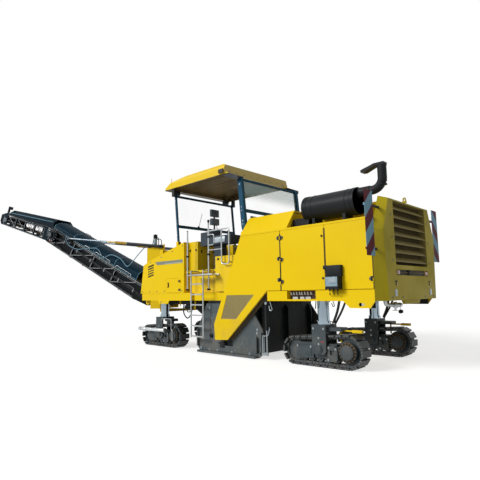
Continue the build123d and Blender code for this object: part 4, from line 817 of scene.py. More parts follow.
link_steel = paint_coat("link_steel", (0.06, 0.07, 0.074), (0.19, 0.19, 0.175), 0.36, 0.7, 0.35, 0.002, 0.4)
rusty_flange = paint_coat("rusty_flange", (0.09, 0.06, 0.028), (0.42, 0.2, 0.03), 0.6, 0.4, 0.1, 0.002, 0.2)
link_blocks = repeat_tree("link_plates", "block", link_steel)
link_pins = repeat_tree("link_pins", "ring", link_steel)
for name, (leg_x, leg_y) in LEGS.items():
    body, hub_x = f"undercarriage_{name}", leg_x + HUB.x
    joints, pitch = loop_line(0.062, 52)
    pads, _ = loop_line(0.02, 26)

    def at(point, across):
        return (leg_x + point.x, leg_y + across, point.y)

    places, pins = [], []
    for i, (point, ahead) in enumerate(joints):
        inward, shift = Vector((-ahead.y, ahead.x)), 0.058 + 0.01 * (i % 2)
        for side in (1, -1):
            places.append((at(point - inward * 0.01, side * shift), (0, side, 0), (ahead.x, 0, ahead.y)))
            if i % 2:
                pins.append((at(point + ahead * pitch * 0.5, side * 0.074), (0, side, 0)))
    repeat(f"chain_links_{name}", link_blocks, places, body, pitch * 1.05, 0.01, 0.044)
    repeat(f"chain_pins_{name}", link_pins, pins, body, 0.03, 0.01)
    pad_ends = [(at(point + ahead * shift, side * 0.1495), (0, side, 0))
                for point, ahead in pads for side in (1, -1) for shift in (-0.026, 0.026)]
    repeat(f"pad_screws_{name}", screws, pad_ends, body, 0.013, 0.0045)
    for i in range(5):
        for side in (1, -1):
            for inner, outer, radius in ((0.053, 0.064, 0.073), (0.064, 0.09, 0.03)):
                disc((leg_x - 0.28 + i * 0.175, leg_y + side * inner, ROLLER_Z), side * (outer - inner), radius,
                     sides=20)
    fit(f"roller_flanges_{name}", link_steel, 0.003, body)
    for side in (1, -1):
        disc((hub_x, leg_y + side * 0.138, HUB.y), side * 0.006, 0.172, 0.168, 40)
    fit(f"hub_flange_{name}", rusty_flange, body=body)
    for side in (1, -1):
        face = leg_y + side * 0.167
        for step, radius in enumerate((0.124, 0.108, 0.06)):
            disc((hub_x, face + side * 0.004 * step, HUB.y), side * 0.004, radius, radius - 0.004, 36)
        disc((leg_x, leg_y + side * 0.21, 0.33), side * 0.01, 0.052, 0.046, 28)
        slab((leg_x + 0.19, leg_x + 0.5), (leg_y + side * 0.155, leg_y + side * 0.161), (0.2, 0.335))
    fit(f"hub_cap_{name}", carrier_coat, 0.002, body)
    bolts = [((hub_x + 0.152 * c, leg_y + side * 0.144, HUB.y + 0.152 * s), (0, side, 0))
             for side in (1, -1) for c, s in circle(16)]
    repeat(f"hub_screws_{name}", black_screws, bolts, body, 0.02, 0.012)
    frame_bolts = [((leg_x + x, leg_y + side * y, z), (0, side, 0)) for side in (1, -1)
                   for x, y, z in ((0.0, 0.192, 0.53), (0.0, 0.192, 0.42), (0.11, 0.192, 0.7), (-0.11, 0.192, 0.7),
                                   (-0.18, 0.155, 0.36), (-0.33, 0.155, 0.35), (-0.17, 0.155, 0.15),
                                   (0.2, 0.161, 0.36), (0.5, 0.161, 0.36))]
    repeat(f"track_frame_screws_{name}", bright_screws, frame_bolts, body, 0.024, 0.012)
    outside = 1 if leg_y > 0 else -1
    slab((leg_x - 0.115, leg_x - 0.045), (leg_y + outside * 0.192, leg_y + outside * 0.194), (0.452, 0.478))
    fit(f"pad_gauge_{name}", lens_red, body=body)

# ---- Track tensioner's grease point: a yellow guard above the rear hubs ----
# Bent strip, screwed to the track frame, so that a foot doesn't tread on the nipple.
for name in ("rear_left", "rear_right"):
    leg_x, leg_y = LEGS[name]
    bent_tube([(leg_x - 0.36, leg_y, 0.46), (leg_x - 0.36, leg_y, 0.665), (leg_x - 0.62, leg_y, 0.665)], 0.016, 0.03)
    slab((leg_x - 0.79, leg_x - 0.6), span(leg_y, 0.035), (0.64, 0.69))
    fit(f"grease_guard_{name}", yellow, 0.004, f"undercarriage_{name}")

# ---- Steering cylinders on the front tracks: silver sleeves, collars and a linkage rod ----
# Zinc-plated barrel with a flange at each end, and a thin rod down to the angle sensor.
silver = bare_metal("silver_barrel", (0.66, 0.7, 0.72), 0.22, (0.1, 1.0, 1.0))
for name in ("front_left", "front_right"):
    leg_x, leg_y = LEGS[name]
    outside = 1 if leg_y > 0 else -1
    across, body = leg_y + outside * 0.254, f"undercarriage_{name}"
    for start, end, radius in ((-0.345, -0.315, 0.056), (-0.315, 0.5, 0.0485), (0.5, 0.7, 0.0562),
                               (0.7, 0.795, 0.029)):
        level(leg_x + start, leg_x + end, across, RAM_Z, radius, sides=28)
    for start in (-0.06, 0.22):
        level(leg_x + start, leg_x + start + 0.022, across, RAM_Z, 0.053, sides=28)
    round_bar((leg_x + 0.83, across - 0.0325, RAM_Z), (leg_x + 0.83, across + 0.0325, RAM_Z), 0.046, sides=24)
    fit(f"steering_cylinder_{name}", silver, 0.002, body)
    rod_y = leg_y + outside * 0.205
    bent_tube([(leg_x - 0.545, rod_y, 0.735), (leg_x - 0.545, rod_y, 0.46), (leg_x - 0.59, rod_y, 0.44),
               (leg_x - 0.595, rod_y, 0.18)], 0.01, 0.02)
    level(leg_x - 0.545, leg_x - 0.16, rod_y, 0.735, 0.009)
    fit(f"angle_sensor_rod_{name}", stainless, body=body)

# ---- Operator's seats: padded cushions on steel pans and pillars ----
# Two standing seats. Each has a foam squab and back under dark woven cover, with piped
# edges and two sewn channels, on a folded pan that is bolted to its pillar.
cover_cloth = Finish("seat_cloth")
threads = {"Vector": cover_cloth.place(), "Scale": 90.0, "Distortion": 0.6, "Detail": 1.0}
ribs, cross = (cover_cloth.node("ShaderNodeTexWave", {"wave_type": "BANDS", "bands_direction": way}, threads, 1)
               for way in "YX")
weave = ribs * 0.5 + cross * 0.5
rubbed = cover_cloth.cloud(0.25, 5.0).between(0.45, 0.75)
creases = cover_cloth.dent(rubbed, 0.003)
cloth_tone = cover_cloth.blend(weave * 0.5 + rubbed * 0.4, (0.012, 0.013, 0.016), (0.045, 0.047, 0.052))
cover_cloth.surface(Base_Color=cloth_tone, Roughness=rubbed * 0.15 + 0.78, Specular_IOR_Level=0.25, Sheen_Weight=0.25,
                    Normal=cover_cloth.dent(weave, 0.0012, creases))


def cushion_form(half_long, half_wide, half_thick, channels):
    """A crowned pad about its own middle: sides pull in between corners, with sewn channels."""
    steps, rows = 22, {}
    for top in (1, -1):
        for i in range(steps + 1):
            for j in range(steps + 1):
                if top < 0 and (i in (0, steps) or j in (0, steps)):
                    continue
                u, v = -1 + 2 * i / steps, -1 + 2 * j / steps
                crown = ((1 - abs(u) ** 5) * (1 - abs(v) ** 5)) ** 0.5
                sewn = sum(exp(-((v - c) / 0.055) ** 2) for c in channels)
                pressed = 1 - 0.28 * sewn * (1 - abs(u) ** 8) if top > 0 else 0.85
                swell = 0.86 + 0.14 * (1 - u * u) * (1 - v * v)
                x = half_long * u * (1 - 0.05 * v ** 6) * (1 - 0.035 * (1 - v * v))
                y = half_wide * v * (1 - 0.05 * u ** 6) * (1 - 0.035 * (1 - u * u))
                rows[top, i, j] = form.verts.new((x, y, top * half_thick * crown * pressed * swell))
    for top in (1, -1):
        for i in range(steps):
            for j in range(steps):
                corner = [rows.get((top, a, b)) or rows[1, a, b] for a, b in
                          ((i, j), (i + 1, j), (i + 1, j + 1), (i, j + 1))]
                form.faces.new(corner if top > 0 else corner[::-1])


def rim_line(half_long, half_wide):
    """The piping's corners round a pad's seam."""
    turn = ((1, 0), (1, 1), (0, 1), (-1, 1), (-1, 0), (-1, -1), (0, -1), (1, -1), (1, 0))
    return [(half_long * x * (0.93 if y else 0.97), half_wide * y * (0.9 if x else 0.97), 0.0) for x, y in turn]


SEAT_X, SEAT_Y = -0.16, 0.68
for side, hand in SIDES:
    seat_y = SEAT_Y * side
    squab = Matrix.Translation((SEAT_X, seat_y, 2.418)) @ Matrix.Rotation(radians(-2), 4, "Y")
    back = Matrix.Translation((-0.326, seat_y, 2.7)) @ Matrix.Rotation(radians(-99.3), 4, "Y")
    for label, size, place in (("squab", (0.21, 0.212, 0.04), squab), ("back", (0.235, 0.212, 0.036), back)):
        cushion_form(*size, (-0.36, 0.36))
        flip = Matrix.Diagonal((1, 1, 1 if label == "squab" else -1, 1))
        bmesh.ops.transform(form, matrix=place @ flip, verts=form.verts)
        pad = fit(f"seat_{label}_{hand}", cover_cloth.owner, smooth=80)
        smooth = pad.modifiers.new("round", "SUBSURF")
        smooth.levels = smooth.render_levels = 1
        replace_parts(pad, "seats")
        bent_tube(rim_line(size[0], size[1]), 0.0045, 0.05, 8)
        bmesh.ops.transform(form, matrix=place, verts=form.verts)
        fit(f"seat_{label}_piping_{hand}", cover_cloth.owner, smooth=80)
    slab((-0.355, 0.04), span(seat_y, 0.19), (2.362, 2.378))
    slab((-0.3, -0.02), span(seat_y, 0.1), (2.33, 2.362))
    post(SEAT_X, seat_y, 1.9505, 1.972, 0.088, 0.08, 32)
    post(SEAT_X, seat_y, 1.972, 2.2, 0.058, 0.058, 32)
    post(SEAT_X, seat_y, 2.2, 2.335, 0.046, 0.046, 32)
    for y in (-0.13, 0.13):
        bent_tube([(-0.2, seat_y + y, 2.368), (-0.372, seat_y + y, 2.372), (-0.405, seat_y + y, 2.9)], 0.011, 0.05)
    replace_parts(fit(f"seat_frame_{hand}", black_part, 0.003), "seats")

# ---- Consoles: sloped switch panels, levers, screens and their bezels ----
# Moulded housings with a brushed panel of round keys, short levers with black knobs, and
# two screens on a stalk above each console.
panel_metal = bare_metal("console_panel", (0.4, 0.46, 0.5), 0.3, (0.1, 1.0, 1.0))
screen_glass = Finish("screen_glass")
glow = screen_glass.cloud(0.05, 2.0)
screen_glass.surface(Base_Color=screen_glass.blend(glow, (0.004, 0.005, 0.006), (0.012, 0.016, 0.018)),
                     Roughness=glow * 0.05 + 0.06, Normal=screen_glass.dent(glow, 0.0002))
housing_grey = paint_coat("screen_housing", (0.06, 0.08, 0.095), (0.11, 0.14, 0.16), 0.4, 1.0, 0.1, 0.0008, 0.3)
key_tree = repeat_tree("console_keys", "ring", bare_metal("keys", (0.3, 0.33, 0.36), 0.35, (1.0, 1.0, 1.0), 0.0))
for side, hand in SIDES:
    slab((0.14, 0.76), (0.575, 0.885), (2.7602, 2.766), side)
    slab((0.84, 1.14), (0.58, 0.88), (2.9002, 2.905), side)
    slab((0.3, 0.7), (0.9002, 0.905), (2.6, 2.73), side)
    fit(f"console_panels_{hand}", panel_metal, 0.002)
    keys = [((0.2 + 0.055 * i, (0.62 + 0.05 * j) * side, 2.766), (0, 0, 1)) for i in range(9) for j in range(5)
            if (i, j) not in ((3, 1), (3, 2), (4, 1), (4, 2), (7, 3), (7, 2))]
    keys += [((0.9 + 0.06 * i, (0.64 + 0.09 * j) * side, 2.905), (0, 0, 1)) for i in range(4) for j in range(3)]
    repeat(f"console_keys_{hand}", key_tree, keys, "chassis", 0.026, 0.009)
    for x, y in ((0.4, 0.7), (0.6, 0.79)):
        post(x, y * side, 2.766, 2.79, 0.03, 0.02, 24)
        post(x, y * side, 2.79, 2.85, 0.008)
        post(x, y * side, 2.85, 2.87, 0.012, 0.022, 20)
        post(x, y * side, 2.87, 2.895, 0.022, 0.01, 20)
    slab((0.775, 0.795), (0.575, 0.885), (2.77, 2.8), side)
    fit(f"console_levers_{hand}", black_part, 0.002)
    for label, x, ys, zs in (("low", 0.81, (0.6, 0.84), (3.08, 3.24)), ("high", 0.83, (0.59, 0.85), (3.29, 3.47))):
        y0, y1 = sorted((ys[0] * side, ys[1] * side))
        (z0, z1), rim = zs, 0.018
        for across, up in (((y0, y1), (z0, z0 + rim)), ((y0, y1), (z1 - rim, z1)),
                           ((y0, y0 + rim), (z0 + rim, z1 - rim)), ((y1 - rim, y1), (z0 + rim, z1 - rim))):
            slab((x - 0.006, x), across, up)
        fit(f"screen_bezel_{label}_{hand}", housing_grey, 0.002)
        slab((x - 0.002, x - 0.0002), (y0 + rim, y1 - rim), (z0 + rim, z1 - rim))
        fit(f"screen_face_{label}_{hand}", screen_glass.owner)

# ---- Platform: bulkhead latches, floor mats, locker catches and rail clamps ----
# Rubber mats lie on the sanded floor. The rails are held by black two-part clamps, and a round
# knob closes each forward post.
mat = paint_coat("floor_mat", (0.02, 0.021, 0.022), (0.055, 0.053, 0.049), 0.75, 2.4, 0.5, 0.003, 0.2)
ribs_tree = repeat_tree("mat_ribs", "block", mat)
RAIL_Y = 1.15
slab((-0.15, 1.18), (-0.44, 0.44), (1.9502, 1.956))
fit("floor_mat", mat, 0.002)
repeat("mat_ribs", ribs_tree, [((0.515, -0.42 + 0.028 * i, 1.956), (0, 0, 1), (1, 0, 0)) for i in range(31)],
       "chassis", 1.29, 0.0035, 0.012)
for side in (1, -1):
    rail = RAIL_Y * side
    for x in (1.3, 1.53):
        slab(span(x, 0.02), (0.9502, 0.96), (2.44, 2.5), side)
    for y in (0.42, 0.82):
        slab((1.232, 1.2398), span(y, 0.02), (2.4, 2.48), side)
    for x in (-0.32, 0.35):
        slab(span(x, 0.03), (1.0752, 1.084), (2.15, 2.2), side)
    for x, z in ((1.4, 1.47), (1.4, 2.3), (0.604, 1.47), (0.604, 2.3), (0.604, 2.72)):
        slab(span(x, 0.03), span(rail, 0.03), span(z, 0.02))
    for x, high in ((1.4, 2.95), (0.604, 3.07)):
        post(x, rail, high - 0.012, high + 0.004, 0.0215)
    post(0.604, rail, 3.074, 3.11, 0.016, 0.034, 24)
    post(0.604, rail, 3.11, 3.14, 0.034, 0.014, 24)
fit("rail_clamps", black_part, 0.003)
for side in (1, -1):
    rail = RAIL_Y * side
    bent_tube([(-0.1, rail, 2.22), (-0.1, rail, 2.042), (0.15, rail, 2.042), (0.15, rail, 2.22)], 0.0163, 0.12)
    slab((0.3, 1.22), (1.085, 1.325), (1.8, 1.812), side)
    for y in (1.085, 1.313):
        slab((0.3, 1.22), (y, y + 0.012), (1.812, 1.832), side)
fit("top_step", stainless, 0.002)
repeat("ladder_treads", repeat_tree("tread_bars", "block", stainless),
       [((x, y * side, 0.3852 + 0.245 * i), (0, 0, 1), (1, 0, 0)) for side in (1, -1) for i in range(6)
        for x, y in ((0.87, 1.275), (0.87, 1.29), (0.87, 1.305))], "chassis", 0.41, 0.004, 0.005)

# ---- Canopy: glazing, wiper, post bosses, work lamps and roof screws ----
# Pale safety glass stands in the rear frame and ahead of the operator; the rear pane turns more opaque pale
# blue towards its top, as a painted reflection. Forged brackets carry the posts, and the roof's edge is held by a row
# of small black screws.
pane = Finish("safety_glass")
haze = pane.cloud(0.5, 4.0).between(0.35, 0.75)
# Alpha rises near the rear pane's top in pale blue: a painted reflection.
pane.surface(Base_Color=pane.blend(haze, (0.56, 0.78, 0.9), (0.66, 0.82, 0.9)), Roughness=haze * 0.08 + 0.1,
             Alpha=(pane.place("X") < 0.5) * 0.34 * pane.place("Z").between(3.45, 3.75) + 0.02 + haze * 0.02,
             Specular_IOR_Level=0.2, Normal=pane.dent(haze, 0.0006))
REAR_PIN, FRONT_PIN = Vector((-0.5, 2.69)), Vector((1.895, 2.69))
TOP_PIN = Vector((-0.375, 3.99))
LEAN = (TOP_PIN - REAR_PIN).normalized()


def on_link(pin, distance, ahead=0.0):
    """A point of a leaning post in the XZ plane."""
    point = pin + LEAN * distance + Vector((LEAN.y, -LEAN.x)) * ahead
    return point.x, point.y


def across_link(pin, low, high, ahead, y0, y1, thick):
    """A plate that leans with the posts, between two heights along them."""
    (x0, z0), (x1, z1) = on_link(pin, low, ahead), on_link(pin, high, ahead)
    sheet_plate([(x0, y0, z0), (x0, y1, z0), (x1, y1, z1), (x1, y0, z1)], (LEAN.y, 0, -LEAN.x), thick)


for pin, body, low, high, name in ((REAR_PIN, "canopy_rear", 0.575, 1.27, "rear_window"),
                                   (FRONT_PIN, "canopy_front", 0.485, 1.27, "windscreen")):
    across_link(pin, low, high, -0.003, -1.024, 1.024, 0.006)
    fit(f"{name}_glass", pane.owner, body=body)
    for z0, z1 in ((low - 0.012, low + 0.014), (high - 0.014, high + 0.006)):
        across_link(pin, z0, z1, -0.01, -1.026, 1.026, 0.02)
    for side in (1, -1):
        across_link(pin, low, high, -0.01, 1.012 * side, 1.03 * side, 0.02)
    fit(f"{name}_seal", black_part, body=body)
for side in (1, -1):
    (xa, za), (xb, zb) = on_link(FRONT_PIN, 0.5, -0.026), on_link(FRONT_PIN, 0.9, -0.026)
    level(xa, xa - 0.02, 0.35 * side, za, 0.03)
    bent_tube([(xa - 0.02, 0.35, za), (xb - 0.02, 0.2, zb)], 0.006, side=side)
fit("wiper_arms", black_part, body="canopy_front")

# Brackets at the posts' feet and at the roof's lugs.
grey_cast = paint_coat("cast_brackets", (0.09, 0.11, 0.125), (0.17, 0.19, 0.2), 0.45, 1.0, 0.1, 0.001, 0.3)
for pin, body in ((REAR_PIN, "canopy_rear"), (FRONT_PIN, "canopy_front")):
    bolts = []
    for side in (1, -1):
        face = 1.068 * side
        disc((pin.x, face, pin.y), side * 0.014, 0.033, 0.03, 28)
        x, z = on_link(pin, 1.306)
        disc((x, face, z), side * 0.006, 0.028, 0.026, 28)
        for distance in (0.22, 0.3, 0.54, 0.62, 1.16):
            x, z = on_link(pin, distance)
            bolts.append(((x, face, z), (0, side, 0)))
    fit(f"post_bosses_{body}", grey_cast, 0.002, body)
    repeat(f"post_screws_{body}", bright_screws, bolts, body, 0.02, 0.008)

# Roof: ribbed lamp lenses with black rims and cables, edge screws, and battens on the liner.
LAMP_FACE = 2.2002
for side in (1, -1):
    slab((LAMP_FACE, 2.206), (0.862, 0.978), (4.047, 4.138), side)
fit("work_lamp_lenses", lens_clear, 0.003, "roof")
for side in (1, -1):
    for y0, y1, z0, z1 in ((0.85, 0.862, 4.035, 4.15), (0.978, 0.99, 4.035, 4.15), (0.862, 0.978, 4.035, 4.047),
                           (0.862, 0.978, 4.138, 4.15)):
        slab((LAMP_FACE, 2.214), (y0, y1), (z0, z1), side)
    post(2.14, 1.1 * side, 4.35, 4.362, 0.024)
    bent_tube([(2.09, 0.92, 4.1), (2.03, 0.92, 4.1), (2.02, 0.92, 4.2)], 0.007, 0.03, 8, side=side)
fit("work_lamp_rims", black_part, 0.002, "roof")
edge = [((-0.0002, -1.0 + 0.25 * i, 4.24), (-1, 0, 0)) for i in range(9)]
repeat("roof_screws", black_screws, edge, "roof", 0.013, 0.005)
for i in range(5):
    y0, y1 = span(-0.84 + 0.42 * i, 0.012)
    sheet_plate([(0.3, y0, 4.379), (1.52, y0, 4.374), (1.52, y1, 4.374), (0.3, y1, 4.379)], (0, 0, -1), 0.01)
batten_brown = paint_coat("liner_battens", (0.23, 0.17, 0.08), (0.16, 0.12, 0.06), 0.6, 1.0, 0.1)
fit("liner_battens", batten_brown, body="roof")

# ---- Silencer: clamped bands and the tail pipe's rings ----
# Rolled sheet in a satin black heat coat. Clamped bands close it at both ends, and rings
# stiffen the tail pipe that stands over the cowl.
SILENCER, BAND, RIM = (0.9, 3.01), 0.2555, 0.246     # (y, z) of its axis, and two radii
for x in (-3.2, -3.1, -2.36, -2.24):
    level(x, x + 0.012, *SILENCER, BAND, sides=64)
for x in (-3.268, -2.15):
    level(x, x + 0.01, *SILENCER, RIM, sides=64)
fit("silencer_bands", heat_black, 0.002)
for z in (3.22, 3.29):
    post(-3.729, 0.9, z, z + 0.014, 0.085, sides=32)
fit("tail_pipe_rings", heat_black, 0.002)

# ---- Valve row: levers and bare tags in the pocket under the left skirt ----
# Manual valves in a recess behind the skirt. Short white levers stand in a row above
# three white tags, and the back of the pocket is dark red-brown.
valve_back = paint_coat("valve_pocket", (0.055, 0.018, 0.012), (0.095, 0.04, 0.024), 0.6, 1.6, 0.2)
pale_knob = paint_coat("pale_levers", (0.5, 0.52, 0.5), (0.4, 0.41, 0.38), 0.4, 1.4, 0.2)
slab((-2.47, -1.82), (1.1455, 1.15), (1.245, 1.395))
fit("valve_pocket_back", valve_back)
for x in (-2.335, -2.265, -2.195, -2.125, -2.075, -2.005, -1.935, -1.87):
    round_bar((x, 1.15, 1.333), (x, 1.186, 1.333), 0.016)
    round_bar((x, 1.18, 1.32), (x, 1.196, 1.375), 0.009, 0.012)
fit("valve_levers", pale_knob, 0.001)
for x0, x1 in ((-2.36, -2.24), (-2.21, -2.11), (-2.06, -1.94)):
    slab((x0, x1), (1.2302, 1.2345), (1.238, 1.284))
fit("valve_tags", pale_knob)
for x in (-2.42, -2.3, -2.16, -2.03, -1.9):
    slab(span(x, 0.018), (1.15, 1.172), (1.262, 1.312))
    bent_tube([(x, 1.16, 1.265), (x, 1.165, 1.15), (x + 0.04, 1.13, 1.06)], 0.01, 0.05, 8)
fit("valve_blocks", black_part, 0.002)

# ---- Rear control box: lid rim, screen, keys and cable glands ----
# A moulded box for whoever works on the ground, under a hood, with a pale screen and a row of keys.
slab((-3.06, -2.78), (1.3302, 1.336), (1.655, 1.825))
slab((-3.035, -2.805), (1.4002, 1.406), (1.43, 1.455))
fit("control_box_lid", black_part, 0.003)
slab((-3.04, -2.8), (1.4002, 1.403), (1.465, 1.63))
fit("control_box_panel", pale_plate, 0.002)
slab((-3.005, -2.87), (1.403, 1.405), (1.54, 1.612))
fit("control_box_screen", lens_clear)
slab((-2.775, -2.69), (1.2505, 1.3), (1.775, 1.845))
fit("control_box_bracket", black_part, 0.004)
repeat("control_box_keys", key_tree,
       [((-3.008 + 0.02 * i, 1.4042, 1.52), (0, 1, 0)) for i in range(7)]
       + [((-2.838, 1.4002, 1.48 + 0.035 * i), (0, 1, 0)) for i in range(4)], "chassis", 0.013, 0.005)
for x in (-3.0, -2.92, -2.84):
    post(x, 1.33, 1.4148, 1.385, 0.015)
    bent_tube([(x, 1.33, 1.39), (x, 1.33, 1.33), (x + 0.03, 1.285, 1.31), (x + 0.05, 1.256, 1.34)], 0.006, 0.03, 8)
fit("control_box_glands", black_part)

# ---- Water filler: flanges, drain valve and cap ----
# The stainless pipe below the tail ends in turned flanges, a ball valve and a black cap on a
# short strap.
FILLER_X = -3.56
for y0, y1, radius in ((0.355, 0.34, 0.05), (0.325, 0.312, 0.06), (0.3, 0.288, 0.06), (0.145, 0.105, 0.042),
                       (0.105, 0.066, 0.0355)):
    disc((FILLER_X, y0, 1.11), y1 - y0, radius, sides=28)
post(FILLER_X, 0.305, 1.08, 1.015, 0.02)
slab((-3.6, -3.5), (0.295, 0.315), (1.005, 1.018))
fit("filler_flange", silver, 0.002)
bent_tube([(FILLER_X, 0.125, 1.075), (-3.57, 0.1, 1.03), (FILLER_X, 0.085, 1.0)], 0.005, 0.02, 8)
disc((FILLER_X, 0.115, 0.985), -0.06, 0.038, 0.034, 24)
fit("filler_cap", black_part, 0.002)

# ---- Lashing plates: dark sheets behind the eyes as painted shade, and bare tags ----
# A dark sheet stands behind the rear and front plates, as painted shade in the eyes, and a bare aluminium
# tag is riveted beside each rear eye.
# Dark sheets behind the eyes: painted shade.
for side in (1, -1):
    slab((-3.6, -3.1), (1.13, 1.14), (1.085, 1.2038), side)
    slab((2.3, 2.7), (0.99, 1.0), (1.12, 1.2038), side)
fit("eye_painted_shade_sheets", anthracite)
for side in (1, -1):
    slab((-3.455, -3.405), (1.2502, 1.252), (1.13, 1.165), side)
fit("lashing_tags", pale_knob)

# ---- Hoses and valves: lines to the rear columns, and the bank under the front frame ----
# Black rubber hose with crimped ends, a pair behind each rear column.
hose_rubber = paint_coat("hose_rubber", (0.01, 0.011, 0.013), (0.03, 0.031, 0.033), 0.55, 1.2, 0.3, 0.001, 0.3)
for side, hand in SIDES:
    for y, radius, line in ((1.0, 0.024, ((-2.86, 1.4), (-2.838, 1.27), (-2.775, 1.01), (-2.674, 0.8))),
                            (0.97, 0.02, ((-3.0, 1.4), (-2.95, 1.23), (-2.85, 1.02), (-2.7, 0.79)))):
        bent_tube([(x, y, z) for x, z in line], radius, 0.12, side=side)
    hose = fit(f"column_hoses_{hand}", hose_rubber, body=None)
    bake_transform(hose)
for side in (1, -1):
    line = [(1.86, 0.9, 1.2), (1.86, 0.92, 0.86), (1.68, 0.92, 0.73), (1.56, 0.9, 0.86), (1.56, 0.86, 1.2)]
    bent_tube(line, 0.016, 0.1, side=side)
    bent_tube([(1.74, 0.88, 1.2), (1.74, 0.9, 0.92), (1.62, 0.9, 0.9), (1.5, 0.86, 1.2)], 0.012, 0.08, side=side)
fit("front_hose_loops", hose_rubber)
for side in (1, -1):
    for x, high, low in ((1.945, 1.178, 1.05), (1.336, 1.155, 0.985)):
        round_bar((x, 0.95 * side, high), (x + 0.012, 0.95 * side, low), 0.013)
        slab(span(x, 0.02), (0.935, 0.965), (high - 0.008, high + 0.022), side)
fit("drain_handles", yellow, 0.003)
for side in (1, -1):
    for x in (1.58, 1.64, 1.7, 1.76):
        slab(span(x, 0.022), (0.88, 0.94), (0.985, 1.085), side)
        round_bar((x, 0.945 * side, 1.03), (x, 0.962 * side, 1.03), 0.012)
    slab((1.55, 1.79), (0.87, 0.9), (1.085, 1.2), side)
fit("front_valve_bank", black_part, 0.003)

# ---- Discharge conveyor, lower section: pale chords, braces, clips, handles and hoses ----
# The welded side frames show their chords and braces as pale strips over black side sheets.
# Water and oil lines run along the left frame in clips, with tube handles above it.
SLEW, RISE, DROP = radians(22), radians(28.9), radians(10.2)
PIVOT_X, PIVOT_Z = 3.95, 1.33        # the lift pin, which both sections are set out from
FOLD = (4.85, -0.43)                 # the fold's pin, along the lower section and above it
ACROSS = Vector((-sin(SLEW), cos(SLEW), 0))


def tilted(along, height, turn):
    """A step along a section and above it, turned into one ahead and one up."""
    return along * cos(turn) - height * sin(turn), along * sin(turn) + height * cos(turn)


def slewed(ahead, up, across):
    """A point of the slewed conveyor, from the lift pin."""
    return Vector((PIVOT_X + ahead * cos(SLEW), ahead * sin(SLEW), PIVOT_Z + up)) + ACROSS * across


def on_lower(along, height, across):
    """A point of the lower section: along the belt, above it, and to its left."""
    return slewed(*tilted(along, height, RISE), across)


def on_tip(along, height, across):
    """A point of the tip section, from the fold's pin."""
    (pin_ahead, pin_up), (ahead, up) = tilted(*FOLD, RISE), tilted(along, height, RISE - DROP)
    return slewed(pin_ahead + ahead, pin_up + up, across)


def run_on(at, *points):
    """The corners of a hose or a tube on a section."""
    return [at(*point) for point in points]


def bar_on(at, start, end, across, width, thick):
    """A flat bar on a section's side between two (along, height) points."""
    start, end = Vector(start), Vector(end)
    half = (end - start).orthogonal().normalized() * width / 2
    sheet_plate([at(*p, across) for p in (start + half, end + half, end - half, start - half)], ACROSS, thick)


def pin_on(at, along, height, near, far, radius, end_radius=None, sides=16):
    """A round bar across a section."""
    round_bar(at(along, height, near), at(along, height, far), radius, end_radius, sides)


pale_chord = paint_coat("pale_chords", (0.26, 0.28, 0.29), (0.42, 0.43, 0.43), 0.4, 1.6, 0.2, 0.001, 0.3)
LIPS = ((0.28, 4.78, 0.045, 0.022), (0.3, 4.78, -0.005, 0.01), (0.75, 4.66, -0.466, 0.02),
        (0.75, 4.66, -0.428, 0.009))
for side, hand in SIDES:
    face = 0.48 * side
    for start, end, height, width in LIPS:
        bar_on(on_lower, (start, height), (end, height), face, width, 0.006 * side)
    for i in range(4):
        a0, a1 = 0.83 + i * 0.95, 0.83 + (i + 1) * 0.95 - 0.06
        bar_on(on_lower, (a1 + 0.01, -0.43), (a1 + 0.01, 0.0), face, 0.022, 0.006 * side)
        bar_on(on_lower, (a0 + 0.01, 0.0), (a1 - 0.01, -0.415), face, 0.02, 0.006 * side)
    fit(f"lower_chord_lips_{hand}", pale_chord, body="conveyor_low")
    bar_on(on_lower, (0.85, -0.2), (4.6, -0.2), 0.441 * side, 0.01, 0.005 * side)
    fit(f"side_sheet_ribs_{hand}", pale_chord, body="conveyor_low")
    near, out = face + 0.022 * side, face + 0.03 * side
    line = run_on(on_lower, (0.35, -0.24, near), (1.6, -0.2, near), (3.2, -0.16, near), (4.2, -0.12, near),
                  (4.42, -0.2, face + 0.05 * side))
    bent_tube(line, 0.014, 0.2)
    bent_tube([p + Vector((0, 0, -0.045)) for p in line[:-1]], 0.01, 0.2)
    line = run_on(on_lower, (4.45, -0.33, out), (3.9, -0.44, out), (2.0, -0.44, out), (0.9, -0.44, out))
    bent_tube(line, 0.011, 0.2)
    fit(f"lower_lines_{hand}", hose_rubber, body="conveyor_low")
    for along in (0.8, 1.45, 2.1, 2.75, 3.4, 4.05):
        height = -0.24 + 0.03 * (along - 0.35)
        bar_on(on_lower, (along, height - 0.075), (along, height + 0.03), face, 0.03, 0.04 * side)
    fit(f"line_clips_{hand}", pale_chord, 0.003, "conveyor_low")
    near = face - 0.02 * side
    for low, high in ((1.12, 1.79), (2.05, 2.75), (3.0, 3.25)):
        line = ((low, 0.03, near), (low + 0.01, 0.13, near), (high - 0.01, 0.13, near), (high, 0.03, near))
        bent_tube(run_on(on_lower, *line), 0.009, 0.04)
    fit(f"tube_handles_{hand}", stainless, body="conveyor_low")
    repeat(f"lower_chord_screws_{hand}", bright_screws,
           [(on_lower(0.55 + 0.32 * i, height, face + 0.006 * side), ACROSS * side)
            for i in range(13) for height in (0.022, -0.449)], "conveyor_low", 0.018, 0.008)
for start, end in ((3.55, 3.66), (2.95, 3.02), (1.3, 1.36)):
    bar_on(on_lower, (start, -0.49), (end, -0.49), 0.455, 0.018, 0.02)
bar_on(on_lower, (4.5, -0.335), (4.56, -0.335), 0.632, 0.055, 0.003)
bar_on(on_lower, (4.74, -0.06), (4.78, -0.06), 0.481, 0.05, 0.008)
fit("red_markers", lens_red, 0.002, "conveyor_low")

